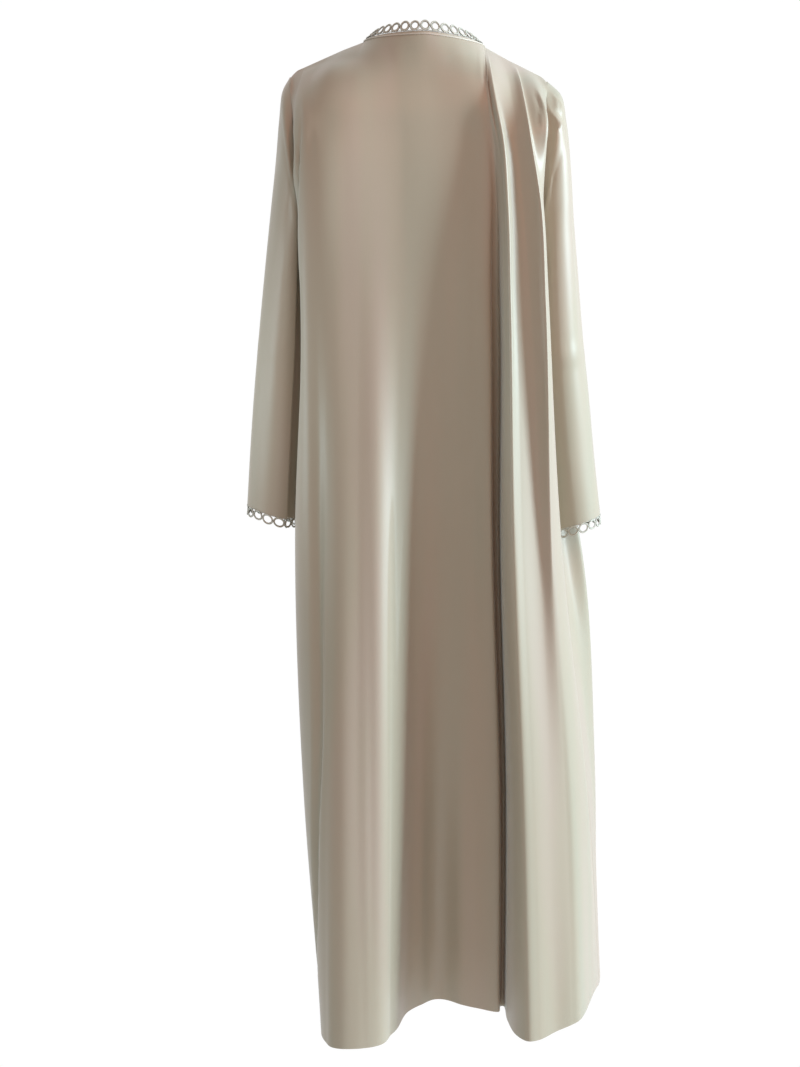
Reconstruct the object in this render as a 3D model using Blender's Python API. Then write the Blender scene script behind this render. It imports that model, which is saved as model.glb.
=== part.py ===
"""Open-front abaya cloak of satin, hollow as worn, as the solids of its cut pieces.

Metres, +Z up, +X to the wearer's right, +Y to the wearer's front. The origin is the
middle of the neck, level with the neck ends of the shoulder seams.

Each panel is a wall of cloth. Its outer face is a grid: columns run down the cloth
along the fold lines named in the tables, and rows run round the wearer. The inner
face is the same grid moved in by the cloth's thickness. Tables are in millimetres.
"""

import math
from collections import namedtuple

import bmesh
import bpy
from mathutils import Matrix, Vector

MM = 0.001
NAME = "abaya_cloak"

# Driving sizes.
CLOTH = 2.0 * MM            # wall of the satin with its turnings
SEAM_GAP = 0.3 * MM         # space between neighbouring pieces
UNDERARM_Z = -265.0         # height of the bottom of both armholes
HEM_Z = -1375.0             # height of the hem at the deepest folds
SHOULDER_ROWS = 9           # grid rows between shoulder seam and underarm
SKIRT_ROWS = 13             # grid rows between underarm and hem
SPAN_STEPS = 3              # grid columns between two fold lines
ARMHOLE_LEAN = 0.15         # least part of a wall's direction that faces the sleeve
LEVELS = (-130.0, -350.0, -690.0, -1050.0)   # yoke, chest, hip and knee heights


def table(row_type, rows):
    """Rows of a table, with its columns named."""
    return tuple(row_type(*row) for row in rows)


# Neck opening.
NECK_HALF_WIDTH = {-1: 84.0, 1: 84.0}
NECK_BACK_DEPTH = 70.0
NECK_FRONT_DEPTH = 80.0
NECK_Z = {-1: 9.0, 1: 2.0}  # neck end of each shoulder seam
NAPE_Z = 11.0
NECK_FRONT_DROP = 75.0
NECK_LEAN = {"nape": 18.0, "side": 50.0, "front": 35.0}   # degrees from upright
BINDING_HEIGHT = 5.0
BINDING_THICKNESS = 3.0

# Openwork ring trim.
RING_SIDES = 8
RING_HEIGHT = 15.0
RING_CORD = 3.0             # width of the cord that each ring is made of
RING_THICKNESS = 2.4
NECK_RINGS = 35
CUFF_RINGS_PER_HALF = 8

# Shoulder seam of each side, from the neck out: distance out and height.
SHOULDER = {
    -1: ((84.0, 9.0), (113.0, -2.0), (145.0, -16.0), (177.0, -30.0), (188.0, -39.0)),
    1: ((84.0, 2.0), (117.0, -16.0), (144.0, -29.0), (164.0, -39.0), (172.0, -45.0)),
}

# Armhole: an ellipse in a nearly upright plane, from its top to the underarm.
Armhole = namedtuple("Armhole", "top_out top_z under_out half_depth")
ARMHOLES = {
    -1: Armhole(188.0, -39.0, 168.0, 62.0),
    1: Armhole(172.0, -45.0, 153.0, 62.0),
}

# A fold line: where it leaves the top edge, as ("shoulder", distance out) or
# ("neck", degrees from the nape), and its (x, y) at each level and at the hem, whose
# height it has raised by rise.
Line = namedtuple("Line", "name top yoke chest hip knee hem rise")

BACK_LINES = table(Line, (
    ("side_left", ("armhole", -1), None, (-154, -4), (-168, 2), (-162, 14), (-150, 34), 4),
    ("tuck_left", ("shoulder", -182), (-179, -72), (-166, -46), (-174, -40), (-164, -34), (-148, -22), 4),
    ("edge_left", ("shoulder", -166), (-175, -80), (-183, -74), (-184, -80), (-170, -92), (-146, -88), 2),
    ("crease_left", ("shoulder", -144), (-163, -88), (-169, -90), (-170, -106), (-157, -135), (-143, -158), 0),
    ("flank_left", ("shoulder", -114), (-140, -97), (-142, -106), (-142, -132), (-134, -168), (-128, -192), 0),
    ("crest_left", ("neck", -90), (-104, -104), (-102, -116), (-104, -146), (-106, -181), (-106, -201), 0),
    ("light_left", ("neck", -62), (-66, -108), (-66, -118), (-70, -143), (-74, -172), (-76, -192), 0),
    ("fall_left", ("neck", -35), (-34, -109), (-36, -114), (-42, -118), (-46, -134), (-48, -148), 4),
    ("recess_left", ("neck", -10), (-4, -109), (-8, -109), (-20, -96), (-24, -88), (-26, -80), 9),
    ("recess_middle", ("neck", 14), (32, -107), (28, -104), (20, -80), (18, -66), (18, -50), 12),
    ("recess_right", ("neck", 38), (64, -103), (64, -101), (66, -76), (68, -66), (70, -66), 8),
    ("foot_right", ("neck", 66), (86, -97), (94, -98), (98, -84), (104, -80), (110, -90), 6),
    ("lip_right", ("neck", 90), (91, -109), (101, -121), (106, -130), (111, -142), (117, -150), 6),
    ("crest_right", ("shoulder", 94), (101, -115), (113, -130), (126, -148), (140, -172), (147, -191), 6),
    ("saddle_right", ("shoulder", 112), (118, -104), (134, -114), (154, -130), (173, -148), (184, -152), 6),
    ("ridge_right", ("shoulder", 134), (136, -99), (164, -108), (186, -112), (206, -108), (216, -88), 8),
    ("edge_right", ("shoulder", 152), (151, -86), (166, -84), (192, -76), (232, -62), (247, -34), 8),
    ("tuck_right", ("shoulder", 165), (160, -72), (150, -48), (176, -38), (236, -30), (257, -4), 8),
    ("side_right", ("armhole", 1), None, (140, -4), (170, 2), (238, 6), (265, 30), 8),
))

# Fronts, from the side seam to the front edge.
FRONT_LINES = {
    1: table(Line, (
        ("side", ("armhole", 1), None, (140, -4), (170, 2), (238, 6), (265, 30), 8),
        ("flank", ("shoulder", 143), (156, 70), (138, 50), (184, 72), (252, 58), (270, 84), 8),
        ("swell", ("shoulder", 112), (138, 86), (134, 94), (237, 110), (259, 106), (256, 136), 4),
        ("dip", ("neck", 90), (112, 95), (110, 112), (182, 132), (204, 146), (212, 172), 2),
        ("fold", ("neck", 120), (84, 99), (82, 114), (126, 122), (146, 132), (156, 154), 4),
        ("ridge", ("neck", 147), (50, 101), (50, 122), (70, 136), (86, 158), (98, 184), 0),
        ("front_edge", ("neck", 172), (13, 98), (15, 118), (21, 128), (31, 146), (44, 166), 4),
    )),
    -1: table(Line, (
        ("side", ("armhole", -1), None, (-154, -4), (-168, 2), (-162, 14), (-150, 34), 4),
        ("flank", ("shoulder", -156), (-170, 72), (-152, 52), (-162, 66), (-160, 86), (-154, 108), 4),
        ("swell", ("shoulder", -120), (-146, 88), (-138, 92), (-146, 112), (-146, 130), (-142, 152), 2),
        ("dip", ("neck", -90), (-116, 97), (-110, 112), (-118, 127), (-122, 148), (-122, 172), 0),
        ("fold", ("neck", -120), (-84, 101), (-80, 114), (-86, 120), (-90, 132), (-92, 148), 4),
        ("ridge", ("neck", -147), (-50, 101), (-48, 120), (-54, 136), (-60, 158), (-64, 184), 0),
        ("front_edge", ("neck", -172), (-13, 98), (-15, 118), (-21, 128), (-31, 146), (-44, 166), 4),
    )),
}

# Rings of the sleeves after the armhole: outer and inner point, seen from behind, the
# middle's distance forward and half the depth. A sleeve leans forward from the elbow.
Ring = namedtuple("Ring", "outer_out outer_z inner_out inner_z forward half_depth")
SLEEVE_RINGS = {
    -1: table(Ring, (
        (198, -58, 168.5, -272, 0, 64),
        (203, -95, 169, -284, 0, 64),
        (208, -150, 169, -302, 2, 62),
        (216, -225, 169, -328, 4, 59),
        (224, -300, 168, -366, 7, 56),
        (233, -385, 167.5, -420, 12, 53),
        (243, -485, 170.5, -500, 20, 50),
        (250, -565, 175.5, -582, 30, 48),
        (256, -644, 184, -664, 40, 46),
    )),
    1: table(Ring, (
        (190, -62, 153.5, -275, 0, 64),
        (199, -99, 154, -288, 0, 64),
        (206, -160, 154, -306, 2, 62),
        (211, -230, 155, -332, 4, 59),
        (218, -305, 155, -370, 7, 56),
        (226, -390, 157, -425, 12, 53),
        (237, -482, 162, -502, 20, 50),
        (247, -572, 172, -592, 30, 48),
        (258, -658, 184, -680, 40, 46),
    )),
}

FINISHES = {   # colour, roughness and metallic value
    "satin": ((0.36, 0.31, 0.25, 1.0), 0.42, 0.0),
    "binding": ((0.50, 0.45, 0.38, 1.0), 0.45, 0.0),
    "ring_trim": ((0.72, 0.69, 0.63, 1.0), 0.35, 0.6),
}

Frame = namedtuple("Frame", "point up out")   # a place on an edge, and its directions
Panel = namedtuple("Panel", "outer normals")  # rows of points and of outward normals


# ---------------------------------------------------------------- curves

def hermite(start, end, slope_start, slope_end, length, part):
    """Value at `part` of a cubic of that length with those end slopes."""
    two, three = part * part, part * part * part
    return ((2 * three - 3 * two + 1) * start + (three - 2 * two + part) * length * slope_start
            + (3 * two - 2 * three) * end + (three - two) * length * slope_end)


def inner_slopes(knots, values):
    """Slopes of a smooth curve at its knots, one-sided at the ends."""
    chords = [(values[k + 1] - values[k]) / (knots[k + 1] - knots[k])
              for k in range(len(knots) - 1)]
    middle = []
    for k in range(1, len(knots) - 1):
        before, after = knots[k] - knots[k - 1], knots[k + 1] - knots[k]
        middle.append((chords[k - 1] * after + chords[k] * before) / (before + after))
    return [chords[0]] + middle + [chords[-1]]


def smooth_value(knots, values, slopes, at):
    """Value at `at` of the curve with those slopes at its knots, in rising order."""
    span = 0
    while span < len(knots) - 2 and at > knots[span + 1]:
        span += 1
    length = knots[span + 1] - knots[span]
    part = (at - knots[span]) / length
    return hermite(values[span], values[span + 1], slopes[span], slopes[span + 1], length, part)


def smooth_points(points, steps):
    """Points on the smooth curve through `points`, with `steps` to each span."""
    knots = [0.0]
    for before, after in zip(points, points[1:]):
        knots.append(knots[-1] + math.sqrt((after - before).length))
    slopes = inner_slopes(knots, points)
    made = []
    for span in range(len(points) - 1):
        length = knots[span + 1] - knots[span]
        for step in range(steps):
            made.append(hermite(points[span], points[span + 1], slopes[span],
                                slopes[span + 1], length, step / steps))
    made.append(points[-1].copy())
    return made


def table_value(table, at):
    """Straight-line reading of a table of (place, value) rows."""
    for (place, value), (next_place, next_value) in zip(table, table[1:]):
        if at <= next_place:
            break
    return value + (next_value - value) * (at - place) / (next_place - place)


# ---------------------------------------------------------------- edges of the body

def side_of(number):
    """+1 on the wearer's right, -1 on the left."""
    return 1 if number > 0 else -1


def neck_point(degrees):
    """Neck edge at an angle from the nape: + to the right, past 90 on the front."""
    angle = math.radians(degrees)
    side = side_of(degrees)
    back = math.cos(angle)
    if back >= 0:
        height = NAPE_Z + (NECK_Z[side] - NAPE_Z) * abs(math.sin(angle))
        return Vector((NECK_HALF_WIDTH[side] * math.sin(angle), -NECK_BACK_DEPTH * back, height))
    drop = NECK_FRONT_DROP * (-back) ** 1.5
    return Vector((NECK_HALF_WIDTH[side] * math.sin(angle), -NECK_FRONT_DEPTH * back,
                   NECK_Z[side] - drop))


def neck_frame(point):
    """Upward and outward directions of the trim at a point of the neck edge."""
    radial = Vector((point.x, point.y * NECK_HALF_WIDTH[1] / NECK_BACK_DEPTH, 0)).normalized()
    sideways = radial.x * radial.x
    far = NECK_LEAN["nape"] if radial.y < 0 else NECK_LEAN["front"]
    lean = math.radians(far + (NECK_LEAN["side"] - far) * sideways)
    up = Vector((0, 0, math.cos(lean))) - radial * math.sin(lean)
    out = Vector((0, 0, math.sin(lean))) + radial * math.cos(lean)
    return up, out


def shoulder_point(out):
    """Point on the shoulder seam at a signed distance out."""
    side = side_of(out)
    return Vector((out, 0, table_value(SHOULDER[side], abs(out))))


def seam_normal(point):
    """Outward normal on a shoulder seam, turned from the neck's to the slope's."""
    side = side_of(point.x)
    (start_out, start_z), (end_out, end_z) = SHOULDER[side][0], SHOULDER[side][-1]
    slope = Vector((side * (start_z - end_z), 0, end_out - start_out)).normalized()
    near_neck = neck_frame(Vector((side * start_out, 0, start_z)))[1]
    part = min(1.0, max(0.0, (abs(point.x) - start_out) / (end_out - start_out)))
    return near_neck.lerp(slope, part).normalized()


def armhole_point(side, half_turn, back):
    """Point on an armhole, 0 at its top and 1 under the arm; back is -1 or +1."""
    hole = ARMHOLES[side]
    angle = math.pi * half_turn
    down = (1 - math.cos(angle)) / 2
    return Vector((side * (hole.top_out + (hole.under_out - hole.top_out) * down),
                   back * hole.half_depth * math.sin(angle),
                   hole.top_z + (UNDERARM_Z - hole.top_z) * down))


# ---------------------------------------------------------------- panels

def line_points(line, back):
    """Points down one fold line, a point for each row of the grid."""
    hem = HEM_Z + line.rise
    rounding = [(1 - math.cos(math.pi * row / SHOULDER_ROWS)) / 2
                for row in range(SHOULDER_ROWS + 1)]
    skirt = [UNDERARM_Z + (hem - UNDERARM_Z) * (row + 1) / SKIRT_ROWS
             for row in range(SKIRT_ROWS)]
    kind, place = line.top
    if kind == "armhole":
        above = [armhole_point(place, row / SHOULDER_ROWS, back)
                 for row in range(SHOULDER_ROWS + 1)]
        knots = [-UNDERARM_Z] + [-level for level in LEVELS[1:]] + [-hem]
        places = [above[-1].xy] + [Vector(p) for p in (line.chest, line.hip, line.knee, line.hem)]
        slopes = inner_slopes(knots, places)
        heights = skirt
    else:
        top = shoulder_point(place) if kind == "shoulder" else neck_point(place)
        above = []
        knots = [-top.z] + [-level for level in LEVELS] + [-hem]
        places = [top.xy] + [Vector(p) for p in
                             (line.yoke, line.chest, line.hip, line.knee, line.hem)]
        slopes = inner_slopes(knots, places)
        slopes[1] = (places[2] - places[1]) / (knots[2] - knots[1])
        slopes[0] = 2 * (places[1] - places[0]) / (knots[1] - knots[0]) - slopes[1]
        heights = [top.z + (UNDERARM_Z - top.z) * part for part in rounding] + skirt
    for height in heights:
        across = smooth_value(knots, places, slopes, -height)
        above.append(Vector((across.x, across.y, height)))
    return above


def top_distance(top):
    """Signed distance out of a place on the shoulder seam, armhole and neck point too."""
    kind, place = top
    if kind == "armhole":
        return place * ARMHOLES[place].top_out
    return side_of(place) * SHOULDER[side_of(place)][0][0] if kind == "neck" else place


def top_row(lines):
    """Points of a panel's top edge, exactly on the shoulder seams and the neck edge."""
    made = []
    for one, other in zip(lines, lines[1:]):
        for step in range(SPAN_STEPS):
            part = step / SPAN_STEPS
            if one.top[0] == other.top[0] == "neck":
                made.append(neck_point(one.top[1] * (1 - part) + other.top[1] * part))
            else:
                start, end = top_distance(one.top), top_distance(other.top)
                made.append(shoulder_point(start + (end - start) * part))
    last = lines[-1].top
    made.append(neck_point(last[1]) if last[0] == "neck" else shoulder_point(top_distance(last)))
    return made


def panel_rows(lines, back):
    """Grid of a panel's outer face, in millimetres, from its fold lines."""
    columns = [line_points(line, back) for line in lines]
    return [top_row(lines)] + [
        smooth_points([column[row] for column in columns], SPAN_STEPS)
        for row in range(1, SHOULDER_ROWS + SKIRT_ROWS + 1)]


def grid_normals(rows, outward_sign):
    """Normals of a grid of points from the chords either side of each point."""
    last_row, last_column = len(rows) - 1, len(rows[0]) - 1
    normals = []
    for r, row in enumerate(rows):
        line = []
        for c in range(len(row)):
            along = rows[r][min(c + 1, last_column)] - rows[r][max(c - 1, 0)]
            down = rows[min(r + 1, last_row)][c] - rows[max(r - 1, 0)][c]
            line.append((down.cross(along) * outward_sign).normalized())
        normals.append(line)
    return normals


def set_top_normals(rows, normals):
    """Give the top row the normals that it shares with the neck trim and the seam."""
    for index, point in enumerate(rows[0]):
        on_shoulder = abs(point.x) >= SHOULDER[side_of(point.x)][0][0] - MM
        normals[0][index] = seam_normal(point) if on_shoulder else neck_frame(point)[1]


def armhole_away(side):
    """Direction out of an armhole's plane, into the sleeve."""
    hole = ARMHOLES[side]
    return Vector((side * (hole.top_z - UNDERARM_Z), 0,
                   hole.under_out - hole.top_out)).normalized()


def lean_armhole_normals(normals, column, side):
    """Turn the normals along an armhole so that the wall stays on the body's side."""
    away = armhole_away(side)
    for row in range(SHOULDER_ROWS + 1):
        normal = normals[row][column]
        short = ARMHOLE_LEAN - normal.dot(away)
        if short > 0:
            normals[row][column] = (normal + away * short).normalized()


def join_side_normals(one, one_column, other, other_column):
    """Share one normal at each point of a side seam, from the underarm down."""
    for row in range(SHOULDER_ROWS, SHOULDER_ROWS + SKIRT_ROWS + 1):
        shared = (one[row][one_column] + other[row][other_column]).normalized()
        one[row][one_column] = shared
        other[row][other_column] = shared.copy()


def open_seams(rows, normals, at_left, at_right, y_shift):
    """Draw a panel's edges back from its seams by half a gap, and its top by y_shift."""
    half = SEAM_GAP / MM / 2
    for r, (row, line) in enumerate(zip(rows, normals)):
        for wanted, column, inside in ((at_left, 0, 1), (at_right, -1, -2)):
            if wanted and r >= SHOULDER_ROWS:
                inward = row[inside] - row[column]
                inward -= line[column] * inward.dot(line[column])
                row[column] = row[column] + inward.normalized() * half
    for column, point in enumerate(rows[0]):
        if abs(point.y) < half:
            rows[0][column] = point + Vector((0, y_shift * half, 0))


# ---------------------------------------------------------------- walls

def finish_of(name):
    """The material of that name."""
    material = bpy.data.materials.get(name)
    if material is None:
        colour, roughness, metallic = FINISHES[name]
        material = bpy.data.materials.new(name)
        material.use_nodes = True
        shader = material.node_tree.nodes["Principled BSDF"]
        shader.inputs["Base Color"].default_value = colour
        shader.inputs["Roughness"].default_value = roughness
        shader.inputs["Metallic"].default_value = metallic
    return material


def close_wall(bm, outer, inner):
    """Move the numbered surface to `outer`, and back it with a copy at `inner`."""
    number = bm.verts.layers.int["number"]
    for vert in bm.verts:
        vert.co = outer[vert[number]] * MM
    made = bmesh.ops.extrude_face_region(bm, geom=bm.faces[:], use_keep_orig=True)["geom"]
    for item in made:
        if isinstance(item, bmesh.types.BMVert):
            item.co = inner[item[number]] * MM
    bmesh.ops.triangulate(bm, faces=bm.faces[:])
    bmesh.ops.recalc_face_normals(bm, faces=bm.faces[:])


def add_object(name, bm, finish, collection):
    """Make an object of a finished bmesh."""
    mesh = bpy.data.meshes.new(name)
    bm.to_mesh(mesh)
    bm.free()
    mesh.shade_smooth()
    mesh.set_sharp_from_angle(angle=math.radians(50))
    mesh.materials.append(finish_of(finish))
    piece = bpy.data.objects.new(name, mesh)
    collection.objects.link(piece)
    return piece


def number_verts(bm):
    """Number the points of a surface, so that its copy keeps the numbers."""
    number = bm.verts.layers.int.new("number")
    for index, vert in enumerate(bm.verts):
        vert[number] = index


def cloth_wall(name, rows, normals, collection, tube=False):
    """Wall of cloth from rows of outer points and normals, shut round on a tube."""
    columns = len(rows[0])
    inner_rows = [[point - normal * (CLOTH / MM) for point, normal in zip(row, line)]
                  for row, line in zip(rows, normals)]
    bm = bmesh.new()
    bmesh.ops.create_grid(bm, x_segments=columns if tube else columns - 1,
                          y_segments=len(rows) - 1, size=1.0)
    number_verts(bm)
    per_row = columns + 1 if tube else columns
    outer = [row[c % columns] for row in rows for c in range(per_row)]
    inner = [row[c % columns] for row in inner_rows for c in range(per_row)]
    if tube:
        number = bm.verts.layers.int["number"]
        for vert in bm.verts:
            vert.co = outer[vert[number]]
        bmesh.ops.remove_doubles(bm, verts=bm.verts[:], dist=MM)
    close_wall(bm, outer, inner)
    return add_object(name, bm, "satin", collection)


def band_wall(name, frames, height, thickness, finish, collection):
    """Flat band that stands on an edge, whose frames are on its middle line."""
    bm = bmesh.new()
    bmesh.ops.create_grid(bm, x_segments=len(frames) - 1, y_segments=1, size=1.0)
    number_verts(bm)
    gap = SEAM_GAP / MM
    outer, inner = [], []
    for rise in (gap, gap + height):
        for frame in frames:
            middle = frame.point + frame.up * rise
            outer.append(middle + frame.out * (thickness / 2))
            inner.append(middle - frame.out * (thickness / 2))
    close_wall(bm, outer, inner)
    return add_object(name, bm, finish, collection)


def frame_at(frames, lengths, at):
    """Frame on an edge at a distance along it."""
    span = 0
    while span < len(frames) - 2 and at > lengths[span + 1]:
        span += 1
    part = (at - lengths[span]) / (lengths[span + 1] - lengths[span])
    one, other = frames[span], frames[span + 1]
    return Frame(one.point.lerp(other.point, part), one.up.lerp(other.up, part).normalized(),
                 one.out.lerp(other.out, part).normalized())


def ring_wall(name, frames, count, collection):
    """Row of open rings that stand side by side on an edge, joined where they meet."""
    lengths = [0.0]
    for before, after in zip(frames, frames[1:]):
        lengths.append(lengths[-1] + (after.point - before.point).length)
    start = SEAM_GAP / MM / 2
    pitch = (lengths[-1] - 2 * start) / count
    turn = math.pi / RING_SIDES
    flats = math.cos(turn)          # a polygon's half width for a corner at distance 1
    bm = bmesh.new()
    for index in range(count):
        middle = start + pitch * (index + 0.5)
        loops = []
        for inset in (0.0, RING_CORD):
            made = bmesh.ops.create_circle(bm, segments=RING_SIDES, radius=1.0)["verts"]
            bmesh.ops.rotate(bm, verts=made, matrix=Matrix.Rotation(turn, 3, 'Z'))
            for vert in made:
                vert.co.x = middle + vert.co.x / flats * (pitch / 2 - inset)
                vert.co.y = RING_HEIGHT / 2 + vert.co.y / flats * (RING_HEIGHT / 2 - inset)
            loops += {edge for vert in made for edge in vert.link_edges}
        bmesh.ops.bridge_loops(bm, edges=loops)
    bmesh.ops.remove_doubles(bm, verts=bm.verts[:], dist=MM)
    number_verts(bm)
    outer, inner = [], []
    for vert in bm.verts:
        frame = frame_at(frames, lengths, vert.co.x)
        middle = frame.point + frame.up * (vert.co.y + SEAM_GAP / MM)
        outer.append(middle + frame.out * (RING_THICKNESS / 2))
        inner.append(middle - frame.out * (RING_THICKNESS / 2))
    close_wall(bm, outer, inner)
    return add_object(name, bm, "ring_trim", collection)


# ---------------------------------------------------------------- the cloak's pieces

def body_panels():
    """Outer grids and normals of the back and the two fronts, seams opened."""
    back_rows = panel_rows(BACK_LINES, -1)
    back_normals = grid_normals(back_rows, 1)
    set_top_normals(back_rows, back_normals)
    panels = {"back": Panel(back_rows, back_normals)}
    for side, lines in FRONT_LINES.items():
        rows = panel_rows(lines, 1)
        normals = grid_normals(rows, side)
        set_top_normals(rows, normals)
        back_column = -1 if side > 0 else 0
        lean_armhole_normals(normals, 0, side)
        lean_armhole_normals(back_normals, back_column, side)
        join_side_normals(normals, 0, back_normals, back_column)
        panels[side] = Panel(rows, normals)
    return panels


def sleeve_panel(side):
    """Outer rings and normals of a sleeve, from the armhole to the cuff."""
    count = 2 * SHOULDER_ROWS
    first = [armhole_point(side, k / SHOULDER_ROWS, -1) for k in range(SHOULDER_ROWS + 1)]
    first += [armhole_point(side, 2 - k / SHOULDER_ROWS, 1)
              for k in range(SHOULDER_ROWS + 1, count)]
    away = armhole_away(side)
    rings = [[point + away * (SEAM_GAP / MM) for point in first]]
    for ring in SLEEVE_RINGS[side]:
        outer = Vector((side * ring.outer_out, ring.forward, ring.outer_z))
        inner = Vector((side * ring.inner_out, ring.forward, ring.inner_z))
        middle, reach = (outer + inner) / 2, (outer - inner) / 2
        rings.append([middle + reach * math.cos(math.pi * k / SHOULDER_ROWS)
                      - Vector((0, ring.half_depth * math.sin(math.pi * k / SHOULDER_ROWS), 0))
                      for k in range(count)])
    normals = []
    for ring in rings:
        middle = sum(ring, Vector()) / count
        axis = sum(((ring[k] - middle).cross(ring[(k + 1) % count] - middle)
                    for k in range(count)), Vector()).normalized()
        line = []
        for k in range(count):
            along = ring[(k + 1) % count] - ring[k - 1]
            normal = along.cross(axis).normalized()
            line.append(normal if normal.dot(ring[k] - middle) > 0 else -normal)
        normals.append(line)
    return Panel(rings, normals)


def neck_frames(panels):
    """Frames along the neck edge, from the right front edge round to the left one."""
    frames = []
    right, back, left = panels[1].outer[0], panels["back"].outer[0], panels[-1].outer[0]
    back_tops = [line.top for line in BACK_LINES]
    first = SPAN_STEPS * back_tops.index(("neck", -90))
    last = SPAN_STEPS * back_tops.index(("neck", 90))
    starts = {side: SPAN_STEPS * [line.top for line in lines].index(("neck", 90 * side))
              for side, lines in FRONT_LINES.items()}
    points = right[:starts[1]:-1] + [neck_point(90)] + back[last - 1:first:-1]
    points += [neck_point(-90)] + left[starts[-1] + 1:]
    for point in points:
        up, out = neck_frame(point)
        frames.append(Frame(point - out * (CLOTH / MM / 2), up, out))
    return frames


def cuff_frames(sleeve, back):
    """Frames along half of a cuff's edge, pointing down the sleeve."""
    ring, before, normals = sleeve.outer[-1], sleeve.outer[-2], sleeve.normals[-1]
    count = len(ring)
    order = range(count // 2 + 1) if back else range(count // 2, count + 1)
    down = (sum(ring, Vector()) - sum(before, Vector())).normalized()
    frames = []
    for k in order:
        out = normals[k % count]
        up = (down - out * down.dot(out)).normalized()
        frames.append(Frame(ring[k % count] - out * (CLOTH / MM / 2), up, out))
    return frames


def build():
    """Make every piece of the cloak in a collection of its own."""
    for old in list(bpy.data.objects):
        bpy.data.objects.remove(old, do_unlink=True)
    collection = bpy.data.collections.new(NAME)
    bpy.context.scene.collection.children.link(collection)

    panels = body_panels()
    binding = neck_frames(panels)
    open_seams(*panels["back"], True, True, -1)
    cloth_wall("back", *panels["back"], collection)
    for side, word in ((1, "right"), (-1, "left")):
        open_seams(*panels[side], True, False, 1)
        cloth_wall(f"front_{word}", *panels[side], collection)
        sleeve = sleeve_panel(side)
        cloth_wall(f"sleeve_{word}", *sleeve, collection, tube=True)
        ring_wall(f"cuff_trim_{word}_back", cuff_frames(sleeve, True), CUFF_RINGS_PER_HALF,
                  collection)
        ring_wall(f"cuff_trim_{word}_front", cuff_frames(sleeve, False), CUFF_RINGS_PER_HALF,
                  collection)

    band_wall("neck_binding", binding, BINDING_HEIGHT, BINDING_THICKNESS, "binding", collection)
    above = [Frame(f.point + f.up * (SEAM_GAP / MM + BINDING_HEIGHT), f.up, f.out)
             for f in binding]
    ring_wall("neck_trim", above, NECK_RINGS, collection)


build()
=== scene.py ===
"""Open-front abaya cloak of satin, hollow as worn: its cloth, openwork trim, sewing and light.

The tables are in millimetres, in the cloak's own frame: +X to the wearer's right, +Y to
the wearer's front, +Z up, with the origin at the middle of the neck. Meshes are in metres.
Each panel is a thin wall of cloth on a grid. Its columns run down the fold lines of the
tables, and creases are then raised or sunk along its surface.
"""

import logging
import math
from collections.abc import Iterable, Iterator, Sequence
from dataclasses import dataclass, field
from enum import Enum

import bmesh
import bpy
import numpy as np
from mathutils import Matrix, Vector

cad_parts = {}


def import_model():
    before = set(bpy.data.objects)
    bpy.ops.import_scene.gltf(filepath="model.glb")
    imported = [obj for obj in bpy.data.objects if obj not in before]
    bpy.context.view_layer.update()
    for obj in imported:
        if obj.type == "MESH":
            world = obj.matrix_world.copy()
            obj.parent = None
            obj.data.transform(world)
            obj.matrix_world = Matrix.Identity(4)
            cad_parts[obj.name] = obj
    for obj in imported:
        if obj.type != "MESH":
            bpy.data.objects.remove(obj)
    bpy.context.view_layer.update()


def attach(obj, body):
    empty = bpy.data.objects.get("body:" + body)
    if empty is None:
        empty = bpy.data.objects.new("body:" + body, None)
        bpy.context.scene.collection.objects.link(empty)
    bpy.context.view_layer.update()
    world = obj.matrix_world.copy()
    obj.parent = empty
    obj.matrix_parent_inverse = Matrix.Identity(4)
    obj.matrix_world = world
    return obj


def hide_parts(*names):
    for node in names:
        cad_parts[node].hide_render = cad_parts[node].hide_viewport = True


Socket = bpy.types.NodeSocket
LOG = logging.getLogger("abaya_cloak")
MM = 0.001
BODY = "root"                       # the one body that every piece rides on
LEVELS = (-130.0, -350.0, -690.0, -1050.0)      # yoke, chest, hip and knee heights
CLOTH_MAP = "cloth"                 # UV map in metres of cloth: across, then down
COLUMN_DRAW = 0.055                 # how far a panel's columns draw towards its fold lines
SHARP_CREST = 1.6                   # power of a sharp crease's slope
PUCKER_FADE = 0.7                   # power of a pucker's fade towards its ends
PUCKER_TURN = 4.0                   # how soon a pucker fades where the cloth turns away
WAVE_UNIT = 0.314                   # pitch of a wave texture's X bands at scale 1


class Side(Enum):
    """The wearer's two sides, with the sign of X on each."""

    LEFT = -1
    RIGHT = 1


class Slot(Enum):
    """Material slots of the part's record."""

    SATIN = "satin"
    BINDING = "binding"
    RINGS = "ring_trim"


# ---------------------------------------------------------------- curves

def inner_slopes(knots: Sequence[float], values: np.ndarray) -> list:
    """Slopes of a smooth curve at its knots, one-sided at the ends.

    Args:
        knots: Rising places of the values.
        values: One value or vector for each knot.

    Returns:
        A slope for each knot.
    """
    chords = [(values[k + 1] - values[k]) / (knots[k + 1] - knots[k])
              for k in range(len(knots) - 1)]
    middle = []
    for k in range(1, len(knots) - 1):
        before, after = knots[k] - knots[k - 1], knots[k + 1] - knots[k]
        middle.append((chords[k - 1] * after + chords[k] * before) / (before + after))
    return [chords[0]] + middle + [chords[-1]]


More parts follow.
